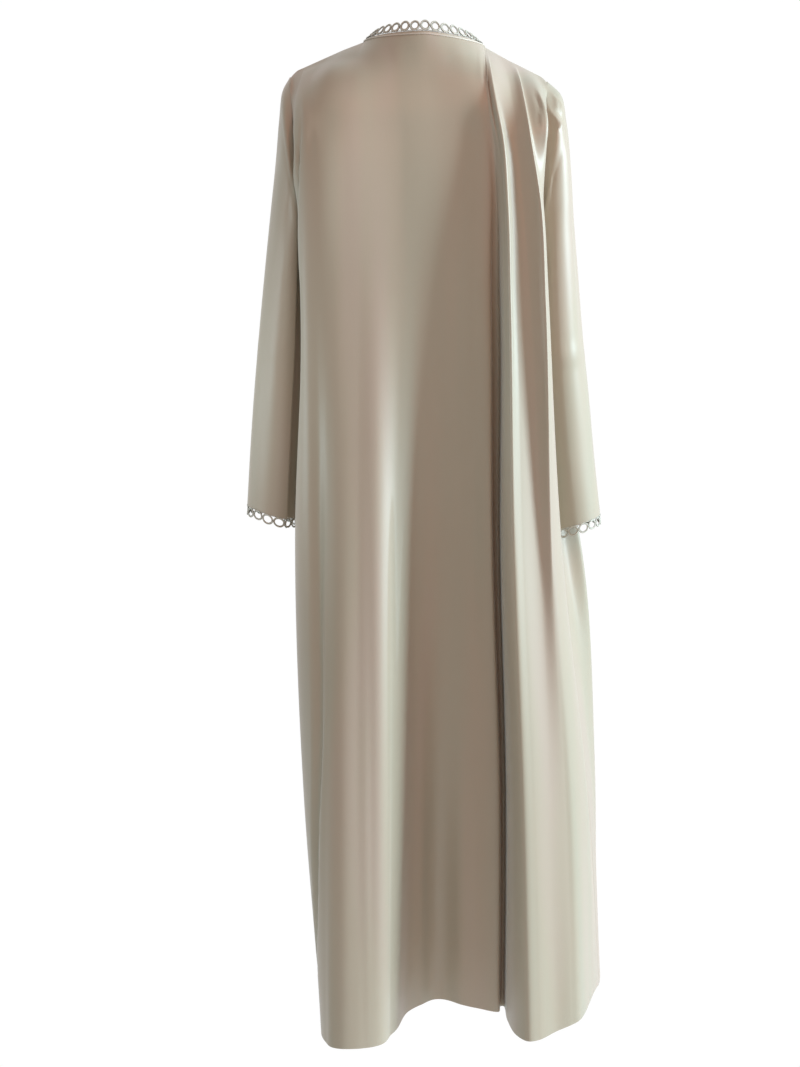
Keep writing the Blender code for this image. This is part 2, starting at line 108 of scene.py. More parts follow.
def smooth_values(knots: Sequence[float], values: Sequence, slopes: Sequence,
                  places: np.ndarray) -> np.ndarray:
    """Read a smooth curve through its knots at many places.

    Args:
        knots: Rising places of the values.
        values: One value or vector for each knot.
        slopes: One slope for each knot.
        places: Where to read the curve. Places past the ends are held there.

    Returns:
        A value or vector for each place.
    """
    knots, values, slopes = np.asarray(knots), np.asarray(values), np.asarray(slopes)
    places = np.clip(places, knots[0], knots[-1])
    span = np.clip(np.searchsorted(knots, places, side="right") - 1, 0, len(knots) - 2)
    length = knots[span + 1] - knots[span]
    part = (places - knots[span]) / length
    if values.ndim > 1:
        part, length = part[:, None], length[:, None]
    two, three = part ** 2, part ** 3
    return ((2 * three - 3 * two + 1) * values[span] + (three - 2 * two + part) * length
            * slopes[span] + (3 * two - 2 * three) * values[span + 1]
            + (three - two) * length * slopes[span + 1])


def read_smooth(knots: Sequence[float], values: Sequence, places: np.ndarray) -> np.ndarray:
    """Read the smooth curve through values at rising knots."""
    values = np.asarray(values, dtype=float)
    return smooth_values(knots, values, inner_slopes(knots, values), places)


def smooth_across(points: np.ndarray, steps: int) -> np.ndarray:
    """Points on the smooth curve through a row of points.

    Args:
        points: The points that the curve passes through.
        steps: Number of steps between two of them.

    Returns:
        The points, with steps - 1 new ones in each span.
    """
    lengths = np.sqrt(np.linalg.norm(np.diff(points, axis=0), axis=1))
    knots = np.concatenate([[0.0], np.cumsum(lengths)])
    parts = np.arange(steps) / steps
    parts = parts - COLUMN_DRAW * np.sin(math.tau * parts)
    places = (knots[:-1, None] + lengths[:, None] * parts[None, :]).ravel()
    places = np.append(places, knots[-1])
    return smooth_values(knots, points, inner_slopes(knots, points), places)


def path_lengths(points: np.ndarray, axis: int = 0) -> np.ndarray:
    """Length along a path of points, or along a grid from its first row or column."""
    steps = np.linalg.norm(np.diff(points, axis=axis), axis=-1)
    start = np.zeros_like(np.take(steps, [0], axis=axis))
    return np.concatenate([start, np.cumsum(steps, axis=axis)], axis=axis)


def read_along(places: Sequence[float], lengths: np.ndarray, values: np.ndarray) -> np.ndarray:
    """Read a row of vectors at places along their path, straight between its points."""
    return np.column_stack([np.interp(places, lengths, values[:, axis]) for axis in range(3)])


def neighbour_chords(points: np.ndarray) -> np.ndarray:
    """Chord between the neighbours of each row of a grid, one-sided at its ends.

    Args:
        points: The grid.

    Returns:
        Chords of the same shape.
    """
    made = np.empty_like(points)
    made[1:-1] = points[2:] - points[:-2]
    made[0], made[-1] = points[1] - points[0], points[-1] - points[-2]
    return made


def unit(vectors: np.ndarray) -> np.ndarray:
    """The same directions with length 1."""
    return vectors / np.maximum(np.linalg.norm(vectors, axis=-1, keepdims=True), 1e-9)


def bump_of(distance: np.ndarray, crest: float) -> np.ndarray:
    """Height of a fold's section, 1 at its line and 0 a reach away.

    Args:
        distance: Distance from the line, in reaches.
        crest: 0 for a round top, 1 for a sharp one.

    Returns:
        The height at each distance.
    """
    near = np.clip(1 - np.abs(distance), 0, 1)
    round_top = (1 - np.clip(np.abs(distance), 0, 1) ** 2) ** 2
    return (1 - crest) * round_top + crest * near ** SHARP_CREST


# ---------------------------------------------------------------- sizes of the cut

@dataclass(frozen=True)
class Armhole:
    """An ellipse in a nearly upright plane, from its top to the underarm."""

    top_out: float
    top_z: float
    under_out: float
    half_depth: float


@dataclass(frozen=True)
class BodyCut:
    """Neck, shoulder seams and armholes that the panels share."""

    neck_half_width: float = 84.0
    neck_back_depth: float = 70.0
    neck_front_depth: float = 80.0
    nape_z: float = 11.0
    neck_front_drop: float = 75.0
    nape_lean: float = 18.0
    side_lean: float = 50.0
    front_lean: float = 35.0
    underarm_z: float = -265.0
    hem_z: float = -1375.0
    neck_z: dict = field(default_factory=lambda: {-1: 9.0, 1: 2.0})
    shoulder: dict = field(default_factory=lambda: {
        -1: ((84.0, 9.0), (113.0, -2.0), (145.0, -16.0), (177.0, -30.0), (188.0, -39.0)),
        1: ((84.0, 2.0), (117.0, -16.0), (144.0, -29.0), (164.0, -39.0), (172.0, -45.0)),
    })
    armholes: dict = field(default_factory=lambda: {
        -1: Armhole(188.0, -39.0, 168.0, 62.0),
        1: Armhole(172.0, -45.0, 153.0, 62.0),
    })

    def neck_point(self, degrees: float) -> np.ndarray:
        """Point on the neck edge.

        Args:
            degrees: Its angle from the nape: + to the right, and past 90 on the front.

        Returns:
            The point, in millimetres.
        """
        angle = math.radians(degrees)
        side = 1 if degrees > 0 else -1
        back, out = math.cos(angle), math.sin(angle)
        across = self.neck_half_width * out
        if back >= 0:
            height = self.nape_z + (self.neck_z[side] - self.nape_z) * abs(out)
            return np.array([across, -self.neck_back_depth * back, height])
        drop = self.neck_front_drop * (-back) ** 1.5
        return np.array([across, -self.neck_front_depth * back, self.neck_z[side] - drop])

    def neck_directions(self, point: np.ndarray) -> tuple[np.ndarray, np.ndarray]:
        """Directions of the trim at a point of the neck edge.

        Args:
            point: The point, in millimetres.

        Returns:
            Its upward direction and its outward one.
        """
        radial = unit(np.array([point[0], point[1] * self.neck_half_width
                                / self.neck_back_depth, 0.0]))
        sideways = radial[0] ** 2
        far = self.nape_lean if radial[1] < 0 else self.front_lean
        lean = math.radians(far + (self.side_lean - far) * sideways)
        upright = np.array([0.0, 0.0, 1.0])
        return (upright * math.cos(lean) - radial * math.sin(lean),
                upright * math.sin(lean) + radial * math.cos(lean))

    def shoulder_point(self, out: float) -> np.ndarray:
        """Point on the shoulder seam.

        Args:
            out: Its distance out, + to the right.

        Returns:
            The point, in millimetres.
        """
        rows = self.shoulder[1 if out > 0 else -1]
        height = np.interp(abs(out), [row[0] for row in rows], [row[1] for row in rows])
        return np.array([out, 0.0, height])

    def seam_out(self, top: tuple[str, float]) -> float:
        """How far out along the shoulder seam a fold line leaves the top edge.

        Args:
            top: The fold line's top, as in FoldLine.

        Returns:
            The distance out, + to the right; the seam's own end for the neck or armhole.
        """
        kind, place = top
        side = 1 if place > 0 else -1
        if kind == "armhole":
            return side * self.armholes[side].top_out
        return side * self.neck_half_width if kind == "neck" else place

    def armhole_point(self, side: int, half_turn: float, back: int) -> np.ndarray:
        """Point on an armhole.

        Args:
            side: The armhole's side, -1 or 1.
            half_turn: 0 at its top and 1 under the arm.
            back: -1 for its back half and 1 for its front half.

        Returns:
            The point, in millimetres.
        """
        hole = self.armholes[side]
        angle = math.pi * half_turn
        down = (1 - math.cos(angle)) / 2
        return np.array([side * (hole.top_out + (hole.under_out - hole.top_out) * down),
                         back * hole.half_depth * math.sin(angle),
                         hole.top_z + (self.underarm_z - hole.top_z) * down])


CUT = BodyCut()


# ---------------------------------------------------------------- finishes

@dataclass
class NodeGraph:
    """A material's node tree, with short calls for the nodes that the finishes share."""

    tree: bpy.types.NodeTree
    shader: bpy.types.ShaderNode

    def add(self, kind: str, output: str, inputs: dict | None = None, **settings: str) -> Socket:
        """Add a node.

        Args:
            kind: Its type, without the ShaderNode in front.
            output: The output that is wanted.
            inputs: For each input's name or number, a socket to join to it or its value.
            settings: Its own settings.

        Returns:
            The wanted output's socket.
        """
        made = self.tree.nodes.new("ShaderNode" + kind)
        for name, value in settings.items():
            setattr(made, name, value)
        self.fill(made, inputs or {})
        return made.outputs[output]

    def fill(self, node: bpy.types.Node, inputs: dict) -> None:
        """Join sockets to a node's inputs, or give them values.

        Args:
            node: The node.
            inputs: For each input's name or number, a socket to join to it or its value.
        """
        for name, value in inputs.items():
            if isinstance(value, Socket):
                self.tree.links.new(value, node.inputs[name])
            else:
                node.inputs[name].default_value = value

    def place(self, space: str, scale: tuple = (1.0, 1.0, 1.0)) -> Socket:
        """The piece's Object or UV coordinates, with scale units in a metre of each axis."""
        return self.add("Mapping", "Vector", {"Vector": self.add("TexCoord", space),
                                              "Scale": scale})

    def noise(self, space: str, scale: tuple, detail: float) -> Socket:
        """Noise from 0 to 1 on such coordinates, with that many octaves."""
        return self.add("TexNoise", "Fac", {"Vector": self.place(space, scale), "Scale": 1.0,
                                            "Detail": detail})

    def wave(self, direction: str, pitch: float) -> Socket:
        """Even bands from 0 to 1 over the UV map, X or DIAGONAL, with a pitch in metres."""
        return self.add("TexWave", "Fac", {"Vector": self.place("UV"),
                                           "Scale": WAVE_UNIT / pitch},
                        bands_direction=direction)

    def map_range(self, value: Socket, source: tuple, target: tuple) -> Socket:
        """A value moved from one range to another."""
        ends = zip(("From Min", "From Max", "To Min", "To Max"), source + target)
        return self.add("MapRange", "Result", {"Value": value, **dict(ends)})

    def math(self, operation: str, one: Socket, other: Socket | float) -> Socket:
        """The result of ADD or MULTIPLY on a value and a value or number."""
        return self.add("Math", "Value", {0: one, 1: other}, operation=operation)

    def bump(self, height: Socket, depth: float, strength: float,
             under: Socket | None = None) -> Socket:
        """The normal bent by a height of so many metres, on top of one bent before."""
        bent = {} if under is None else {"Normal": under}
        return self.add("Bump", "Normal", {"Height": height, "Distance": depth,
                                           "Strength": strength, **bent})

    def ramp(self, value: Socket, stops: Iterable[tuple]) -> Socket:
        """Turn a value into colours.

        Args:
            value: The value's socket.
            stops: A place from 0 to 1 and a colour for each stop, in order.

        Returns:
            The colour's socket.
        """
        colour = self.add("ValToRGB", "Color", {"Fac": value})
        elements = colour.node.color_ramp.elements
        while len(elements) > 1:
            elements.remove(elements[-1])
        for index, (place, shade) in enumerate(stops):
            element = elements[0] if index == 0 else elements.new(place)
            element.position = place
            element.color = (*shade, 1.0)
        return colour


@dataclass(frozen=True)
class Finish:
    """A finish, whose node material is made once and shared by its pieces."""

    name: str = "plain"

    def material(self) -> bpy.types.Material:
        """The finish's node material, made at its first use.

        Returns:
            The material.
        """
        made = bpy.data.materials.get(self.name)
        if made is None:
            made = bpy.data.materials.new(self.name)
            made.use_nodes = True
            self.wire(NodeGraph(made.node_tree, made.node_tree.nodes["Principled BSDF"]))
        return made

    def wire(self, graph: NodeGraph) -> None:
        """Add the finish's nodes to a new material."""
        raise NotImplementedError


@dataclass(frozen=True)
class Satin(Finish):
    """Soft heavy satin: silky sheen, fine floats down the cloth, faint shot colour."""

    name: str = "satin_face"
    colours: tuple = ((0.376, 0.333, 0.256), (0.400, 0.334, 0.257), (0.418, 0.332, 0.268))
    roughness: tuple[float, float] = (0.42, 0.52)
    sheen: float = 0.40
    sheen_roughness: float = 0.35
    specular: float = 0.70
    anisotropy: float = 0.35
    float_pitch: float = 0.45 * MM
    twill_share: float = 2.5        # pitch of the twill, in floats
    weave_depth: float = 0.03 * MM
    slub_depth: float = 0.10 * MM

    def wire(self, graph: NodeGraph) -> None:
        """Add the shot colour, the uneven gloss, the slubs and the weave.

        Args:
            graph: The new material's nodes.
        """
        bands = graph.noise("Object", (13.0, 13.0, 0.9), 2.0)
        wear = graph.noise("Object", (9.0, 9.0, 3.0), 4.0)
        slub = graph.bump(graph.noise("UV", (420.0, 9.0, 1.0), 3.0), self.slub_depth, 0.35)
        weave = graph.math("MULTIPLY", graph.wave("X", self.float_pitch),
                           graph.wave("DIAGONAL", self.float_pitch * self.twill_share))
        graph.fill(graph.shader, {
            "Base Color": graph.ramp(bands, zip((0.36, 0.50, 0.64), self.colours)),
            "Roughness": graph.map_range(wear, (0.3, 0.7), self.roughness),
            "Normal": graph.bump(weave, self.weave_depth, 0.3, slub),
            "Sheen Weight": self.sheen,
            "Sheen Roughness": self.sheen_roughness,
            "Specular IOR Level": self.specular,
            "Anisotropic": self.anisotropy,
        })


@dataclass(frozen=True)
class CordFinish(Finish):
    """Lustrous ivory cord wound round with fine thread, with painted shade along its sides.

    The UV map holds the place along the cord in metres, and how far the surface faces out
    of the ring's plane, from 0 at the cord's sides and in the groove between its two cords
    to 1; the finish paints shade that darkens towards 0.
    """

    name: str = "ring_cord"
    # the darkest colour is painted shade for the cord's sides and the groove between its cords
    colours: tuple = ((0.060, 0.054, 0.045), (0.27, 0.252, 0.216), (0.62, 0.585, 0.51))
    roughness: float = 0.38
    specular: float = 0.5
    wind_pitch: float = 0.7 * MM
    wind_depth: float = 0.12 * MM
    shares: tuple[float, float, float] = (0.8, 0.3, 0.12)     # of painted shade at the cord's sides, grime and thread

    def wire(self, graph: NodeGraph) -> None:
        """Add the wound thread, and a colour made of painted shade at the cord's sides, grime and
        thread.

        Args:
            graph: The new material's nodes.
        """
        thread = graph.wave("X", self.wind_pitch)
        # the UV map's Y, used as facing below, paints shade on the cord's sides
        sources = (graph.add("SeparateXYZ", "Y", {"Vector": graph.place("UV")}),
                   graph.noise("Object", (500.0, 500.0, 500.0), 3.0), thread)
        facing, grimy, wound = (graph.math("MULTIPLY", one, share)
                                for one, share in zip(sources, self.shares))
        # shade here is painted shade at the cord's sides, plus grime and the wound thread
        shade = graph.math("ADD", graph.math("ADD", facing, grimy), wound)
        graph.fill(graph.shader, {
            "Base Color": graph.ramp(shade, zip((0.25, 0.62, 1.0), self.colours)),
            "Normal": graph.bump(thread, self.wind_depth, 0.6),
            "Roughness": self.roughness,
            "Specular IOR Level": self.specular,
        })


@dataclass(frozen=True)
class SpeckledFinish(Finish):
    """A plain finish with a fine grain of two colours, which may be felt as well."""

    colours: tuple = ((0.84, 0.84, 0.84), (0.88, 0.88, 0.88))
    stops: tuple[float, float] = (0.3, 0.7)
    grain: float = 40.0             # units of the grain in a metre
    detail: float = 3.0
    roughness: float = 0.8
    depth: float = 0.0              # how deep the grain is

    def wire(self, graph: NodeGraph) -> None:
        """Add the grain.

        Args:
            graph: The new material's nodes.
        """
        grain = graph.noise("Object", (self.grain,) * 3, self.detail)
        graph.fill(graph.shader, {
            "Base Color": graph.ramp(grain, zip(self.stops, self.colours)),
            "Roughness": self.roughness,
        })
        if self.depth:
            graph.fill(graph.shader, {"Normal": graph.bump(grain, self.depth, 0.4)})


SATIN_FACE = Satin()
SATIN_REVERSE = Satin(              # the matt crepe side, inside the cloak
    "satin_reverse", ((0.290, 0.246, 0.194), (0.310, 0.250, 0.196), (0.325, 0.252, 0.204)),
    (0.62, 0.75), sheen=0.10, specular=0.30, anisotropy=0.0, weave_depth=0.06 * MM)
BINDING_SATIN = Satin(              # a paler satin cut on the bias, toned darker as painted shade under the neck's rings
    "binding_satin", ((0.440, 0.392, 0.310), (0.460, 0.398, 0.318), (0.480, 0.402, 0.328)))
PIPING_SATIN = Satin(
    "piping_satin", ((0.560, 0.500, 0.430), (0.600, 0.520, 0.450), (0.640, 0.545, 0.480)),
    (0.34, 0.42))
SEWING_THREAD = SpeckledFinish(     # spun, in the cloth's colour
    "sewing_thread", ((0.34, 0.30, 0.24), (0.46, 0.405, 0.325)), (0.35, 0.65), 3000.0, 2.0,
    0.5, 0.05 * MM)
FLOOR_PAINT = SpeckledFinish("floor_paint")


# ---------------------------------------------------------------- meshes

def number_verts(bm: bmesh.types.BMesh) -> bmesh.types.BMLayerItem:
    """Number the points of a surface, so that a copy of it keeps the numbers.

    Args:
        bm: The surface's mesh.

    Returns:
        The layer that holds the numbers.
    """
    number = bm.verts.layers.int.new("number")
    for index, vert in enumerate(bm.verts):
        vert[number] = index
    return number


def add_tube(bm: bmesh.types.BMesh, cloth_map: bmesh.types.BMLayerItem, rings: np.ndarray,
             along: np.ndarray, turns: np.ndarray, closed: bool = False,
             material: int = 0) -> None:
    """Join rings of points into a cord with its ends closed.

    Args:
        bm: The mesh that it is added to.
        cloth_map: The UV layer that takes along and turns.
        rings: Its points, rings by sides by 3; a closed cord ends where it starts.
        along: The UV map's first value at each ring.
        turns: The UV map's second value at each side.
        closed: Whether it is a closed ring itself.
        material: Material number of its faces.
    """
    count = len(rings) - 1 if closed else len(rings)
    sides = rings.shape[1]
    verts = [[bm.verts.new(point) for point in ring] for ring in rings[:count]]
    for row in range(len(rings) - 1):
        above, below = verts[row], verts[(row + 1) % count]
        for side in range(sides):
            after = (side + 1) % sides
            face = bm.faces.new((above[side], above[after], below[after], below[side]))
            face.material_index = material
            corners = ((row, side), (row, after), (row + 1, after), (row + 1, side))
            for loop, (place, turn) in zip(face.loops, corners):
                loop[cloth_map].uv = (along[place], turns[turn])
    if not closed:
        for ring in (verts[0], verts[-1][::-1]):
            bm.faces.new(ring).material_index = material


def add_object(name: str, data: bpy.types.ID) -> bpy.types.Object:
    """Put a new object into the scene.

    Args:
        name: Its name.
        data: Its mesh, light or camera.

    Returns:
        The object.
    """
    made = bpy.data.objects.new(name, data)
    bpy.context.scene.collection.objects.link(made)
    return made


def add_piece(name: str, bm: bmesh.types.BMesh, finishes: Sequence[Finish],
              replaced: Sequence[str] = (), sharp: float = 50.0) -> bpy.types.Object:
    """Make a piece of a finished bmesh, and let it ride on the cloak's body.

    Args:
        name: The piece's name.
        bm: Its shape, in metres, which is freed.
        finishes: Its finishes, in the order of its faces' material numbers.
        replaced: Nodes that it stands for.
        sharp: Edges with a greater angle than this are shaded sharp, in degrees.

    Returns:
        The new object.
    """
    mesh = bpy.data.meshes.new(name)
    bm.to_mesh(mesh)
    bm.free()
    mesh.shade_smooth()
    mesh.set_sharp_from_angle(angle=math.radians(sharp))
    for finish in finishes:
        mesh.materials.append(finish.material())
    piece = add_object(name, mesh)
    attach(piece, BODY)
    if replaced:
        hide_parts(*replaced)
    LOG.info("%s: %d faces", name, len(mesh.polygons))
    return piece


# ---------------------------------------------------------------- folds and creases

@dataclass(frozen=True)
class FoldLine:
    """A line down the cloth: where it leaves the top edge, and its (x, y) at each level.

    top is ("shoulder", distance out), ("neck", degrees from the nape) or ("armhole",
    side). The hem is raised by rise. also holds further (z, x, y) stations.
    """

    name: str
    top: tuple[str, float]
    yoke: tuple[float, float] | None
    chest: tuple[float, float]
    hip: tuple[float, float]
    knee: tuple[float, float]
    hem: tuple[float, float]
    rise: float
    also: tuple[tuple[float, float, float], ...] = ()


@dataclass(frozen=True)
class Crease:
    """A soft ridge or trough that runs down a panel or a sleeve.

    path holds (height, place, lift) from its upper end down. The place is x on a panel
    (None for the line in the middle of its bounds), and on a sleeve hundredths of the
    half turn from its outer line over its back. lift is how far it stands out of the
    cloth (+) or sinks into it (-). before and after are its reaches along the cloth,
    towards earlier and later columns. lines bounds it on a panel.
    """

    name: str
    before: float
    after: float
    crest: float
    path: tuple[tuple[float, float | None, float], ...]
    lines: tuple[float, float] = (0.0, 99.0)

    def lift_on(self, depth: np.ndarray, across: np.ndarray, middles: Sequence[float],
                tube: bool = False) -> np.ndarray:
        """How far the crease moves each point of a grid out.

        Args:
            depth: Each point's depth below the neck, rows by columns.
            across: Each point's place along its row, in millimetres.
            middles: The crease's column at each point of its path.
            tube: Whether the last column is the first one again.

        Returns:
            The move of each point, in millimetres.
        """
        down = [-height for height, _, _ in self.path]
        flat = depth.ravel()
        middle = read_smooth(down, middles, flat).reshape(depth.shape)
        lift = read_smooth(down, [lift for _, _, lift in self.path], flat)
        lift[(flat < down[0]) | (flat > down[-1])] = 0.0
        columns = np.arange(depth.shape[1])
        away = np.array([row - np.interp(place, columns, row)
                         for place, row in zip(middle, across)])
        if tube:
            trip = across[:, -1:]
            away = (away + trip / 2) % trip - trip / 2
        away = np.where(away < 0, away / self.before, away / self.after)
        return lift.reshape(depth.shape) * bump_of(away, self.crest)


@dataclass(frozen=True)
class Pucker:
    """A short ridge or dent that runs any way over the cloth, as seen from one side.

    path holds (x, z) from end to end. Its lift fades towards both ends. side is -1 for the
    cloth that faces back, and 1 for the cloth that faces forward.
    """

    name: str
    side: int
    width: float
    lift: float
    crest: float
    path: tuple[tuple[float, float], ...]

    def lift_on(self, points: np.ndarray, normals: np.ndarray) -> np.ndarray:
        """How far the pucker moves each point of a grid out.

        Args:
            points: The grid, rows by columns by 3.
            normals: Outward directions of the same shape.

        Returns:
            The move of each point, in millimetres.
        """
        flat = points[..., [0, 2]]
        path = np.array(self.path, dtype=float)
        spans = np.linalg.norm(np.diff(path, axis=0), axis=1)
        start = np.concatenate([[0.0], np.cumsum(spans)])
        nearest = np.full(points.shape[:2], 1e9)
        along = np.zeros(points.shape[:2])
        for one, other, span, begin in zip(path, path[1:], spans, start):
            part = ((flat - one) @ (other - one)) / span ** 2
            inside = np.clip(part, 0, 1)
            gap = np.linalg.norm(flat - one - inside[..., None] * (other - one), axis=-1)
            along = np.where(gap < nearest, begin + inside * span, along)
            nearest = np.minimum(nearest, gap)
        fade = np.sin(np.pi * np.clip(along / start[-1], 0.0, 1.0)) ** PUCKER_FADE
        facing = np.clip(normals[..., 1] * self.side * PUCKER_TURN, 0, 1)
        return self.lift * fade * facing * bump_of(nearest / self.width, self.crest)


def table(row_type: type, rows: Iterable[tuple]) -> tuple:
    """Rows of a table as objects of its type, with its columns named."""
    return tuple(row_type(*row) for row in rows)


SIDE_SEAMS = {
    Side.LEFT: FoldLine("side_left", ("armhole", -1), None, (-154, -4), (-168, 2), (-162, 14),
                        (-150, 34), 4),
    Side.RIGHT: FoldLine("side_right", ("armhole", 1), None, (140, -4), (172, 2), (238, 6),
                         (265, 30), 8),
}

BACK_LINES = (SIDE_SEAMS[Side.LEFT], *table(FoldLine, (
    ("tuck_left", ("shoulder", -182), (-176, -70), (-150, -38), (-170, -40), (-164, -34),
     (-148, -22), 4),
    ("edge_left", ("shoulder", -166), (-177, -84), (-169, -76), (-181, -80), (-170, -92),
     (-146, -88), 2),
    ("crease_left", ("shoulder", -144), (-163, -95), (-164, -100), (-170, -110), (-157, -135),
     (-143, -158), 0),
    ("flank_left", ("shoulder", -114), (-140, -101), (-142, -110), (-142, -132), (-134, -168),
     (-128, -192), 0, ((-56, -131, -82), (-85, -136, -94))),
    ("crest_left", ("neck", -90), (-104, -106), (-102, -116), (-104, -146), (-106, -181),
     (-106, -201), 0, ((-56, -99, -92), (-85, -102, -101))),
    ("light_left", ("neck", -62), (-66, -108), (-66, -118), (-68, -144), (-70, -174), (-74, -193),
     0, ((-56, -68, -95.5), (-85, -67, -103.5))),
    ("fall_left", ("neck", -35), (-34, -109), (-32, -114), (-34, -120), (-37, -136), (-42, -149),
     4, ((-56, -38, -97.5), (-85, -36, -105))),
    ("recess_left", ("neck", -10), (-4, -109), (-4, -109), (-10, -97), (-13, -89), (-20, -80), 9,
     ((-56, -7, -98.5), (-85, -5, -105))),
    ("recess_middle", ("neck", 14), (32, -107), (28, -104), (26, -80), (22, -66), (20, -50), 12,
     ((-56, 29, -98.5), (-85, 31, -104))),
    ("recess_right", ("neck", 38), (64, -103), (64, -101), (68, -76), (70, -66), (74, -66), 8,
     ((-56, 56, -98), (-85, 58, -103.5))),
    ("foot_right", ("neck", 58), (81, -103), (89, -98), (94, -84), (107, -74), (108, -80), 7,
     ((-56, 70, -97), (-85, 73, -103.5))),
    ("slot_floor", ("neck", 68), (87, -102), (93, -84), (98, -58), (111, -50), (112, -58), 7,
     ((-56, 76, -96.5), (-85, 79, -103))),
    ("slot_far", ("neck", 76), (90, -102), (101, -82), (105, -56), (116, -48), (116, -57), 7,
     ((-56, 79, -96), (-85, 82, -103))),
    ("lip_right", ("neck", 84), (93, -103), (105, -110), (107, -104), (118, -100), (119, -108), 6,
     ((-56, 82, -96), (-85, 85, -103))),
    ("face_right", ("neck", 90), (97, -110), (108, -126), (112, -132), (125, -152), (129, -167),
     6, ((-56, 85, -97), (-85, 89, -105))),
    ("crest_right", ("shoulder", 88), (104, -119), (115, -137), (122, -147), (136, -168),
     (144, -189), 6, ((-56, 90, -98), (-85, 95, -111), (-220, 111, -130))),
    ("drop_right", ("shoulder", 92), (111, -111), (124, -130), (135, -139), (151, -162),
     (160, -183), 6, ((-56, 95, -91), (-85, 101, -101), (-220, 118, -122))),
    ("saddle_right", ("shoulder", 110), (123, -110), (142, -126), (159, -125), (176, -144),
     (186, -161), 10),
    ("ridge_right", ("shoulder", 126), (141, -116), (162, -135), (174, -128), (197, -132),
     (208, -150), 15, ((-220, 155, -127),)),
    ("lee_right", ("shoulder", 131), (145, -112), (167, -126), (182, -120), (208, -125),
     (220, -140), 18, ((-220, 159, -121),)),
    ("edge_right", ("shoulder", 147), (163, -109), (168, -98), (192, -86), (232, -72), (248, -44),
     20, ((-220, 161, -101),)),
    ("tuck_right", ("shoulder", 163), (165, -84), (151, -48), (176, -38), (236, -30), (257, -4),
     15),
)), SIDE_SEAMS[Side.RIGHT])

FRONT_LINES = {
    Side.RIGHT: (SIDE_SEAMS[Side.RIGHT], *table(FoldLine, (
        ("flank", ("shoulder", 143), (156, 70), (138, 50), (206, 66), (252, 58), (270, 84), 8),
        ("swell", ("shoulder", 112), (138, 86), (134, 94), (231, 75), (259, 106), (256, 136), 4),
        ("dip", ("neck", 90), (112, 95), (110, 112), (182, 132), (204, 146), (212, 172), 2),
        ("fold", ("neck", 120), (84, 99), (82, 114), (126, 122), (146, 132), (156, 154), 4),
        ("ridge", ("neck", 147), (50, 101), (50, 122), (70, 136), (86, 158), (98, 184), 0),
        ("front_edge", ("neck", 172), (13, 98), (15, 118), (21, 128), (31, 146), (44, 166), 4),
    ))),
    Side.LEFT: (SIDE_SEAMS[Side.LEFT], *table(FoldLine, (
        ("flank", ("shoulder", -156), (-170, 72), (-152, 52), (-162, 66), (-160, 86), (-154, 108),
         4),
        ("swell", ("shoulder", -120), (-146, 88), (-138, 92), (-146, 112), (-146, 130),
         (-142, 152), 2),
        ("dip", ("neck", -90), (-116, 97), (-110, 112), (-118, 127), (-122, 148), (-122, 172), 0),
        ("fold", ("neck", -120), (-84, 101), (-80, 114), (-86, 120), (-90, 132), (-92, 148), 4),
        ("ridge", ("neck", -147), (-50, 101), (-48, 120), (-54, 136), (-60, 158), (-64, 184), 0),
        ("front_edge", ("neck", -172), (-13, 98), (-15, 118), (-21, 128), (-31, 146), (-44, 166),
         4),
    ))),
}

BACK_CREASES = table(Crease, (
    ("yoke_left", 34, 130, 0.0, ((-20, -150, 0), (-60, -155, 8), (-120, -156, 11),
     (-220, -156, 11), (-420, -156, 4), (-560, -158, 0)), (2.0, 9.0)),
    ("side_leaf", 8, 8, 0.6, ((-105, -176, 0), (-150, -173, 3), (-215, -172, 4), (-300, -171, 3),
     (-380, -170, 0)), (1.5, 4.0)),
    ("hollow_left", 15, 15, 0.3, ((-300, -146, 0), (-420, -146, -1), (-560, -147, -4),
     (-760, -148, -8), (-975, -149, -9), (-1190, -153, -8), (-1390, -158, -5)), (2.0, 7.0)),
    ("ridge_left", 20, 32, 0.3, ((-250, -116, 0), (-420, -118, 1), (-560, -120, 2),
     (-760, -121, 3), (-1190, -124, 3.5), (-1390, -126, 3)), (2.0, 8.0)),
    ("recess_fold", 30, 34, 0.0, ((-780, 20, 0), (-975, 22, -5), (-1190, 22, -11),
     (-1390, 24, -6)), (7.0, 11.0)),
    ("inner_left", 14, 26, 0.2, ((-280, -76, 0), (-420, -76, 0.6), (-760, -77, 1.6),
     (-1190, -76, 2.2), (-1390, -72, 2)), (4.0, 9.0)),
    ("shine_left", 22, 26, 0.0, ((-330, -60, 0), (-560, -60, 3), (-760, -60, 5.5),
     (-1190, -60, 7), (-1390, -60, 5)), (4.0, 9.0)),
    ("rise_one", 80, 18, 0.0, ((-8, 78, 0), (-45, 81, 2), (-110, 88, 2), (-190, 96, 1),
     (-260, 100, 0)), (7.0, 15.0)),
    ("fold_one", 9, 4, 1.0, ((-8, None, 0), (-35, None, 2.4), (-80, None, 3), (-200, None, 3),
     (-350, None, 2.5), (-560, None, 2), (-720, None, 0)), (15.0, 17.0)),
    ("fold_two", 9, 4, 1.0, ((-22, None, 0), (-45, None, 2.4), (-90, None, 2.6),
     (-300, None, 2.4), (-500, None, 2.2), (-640, None, 1.5), (-760, None, 0)), (18.0, 20.0)),
))

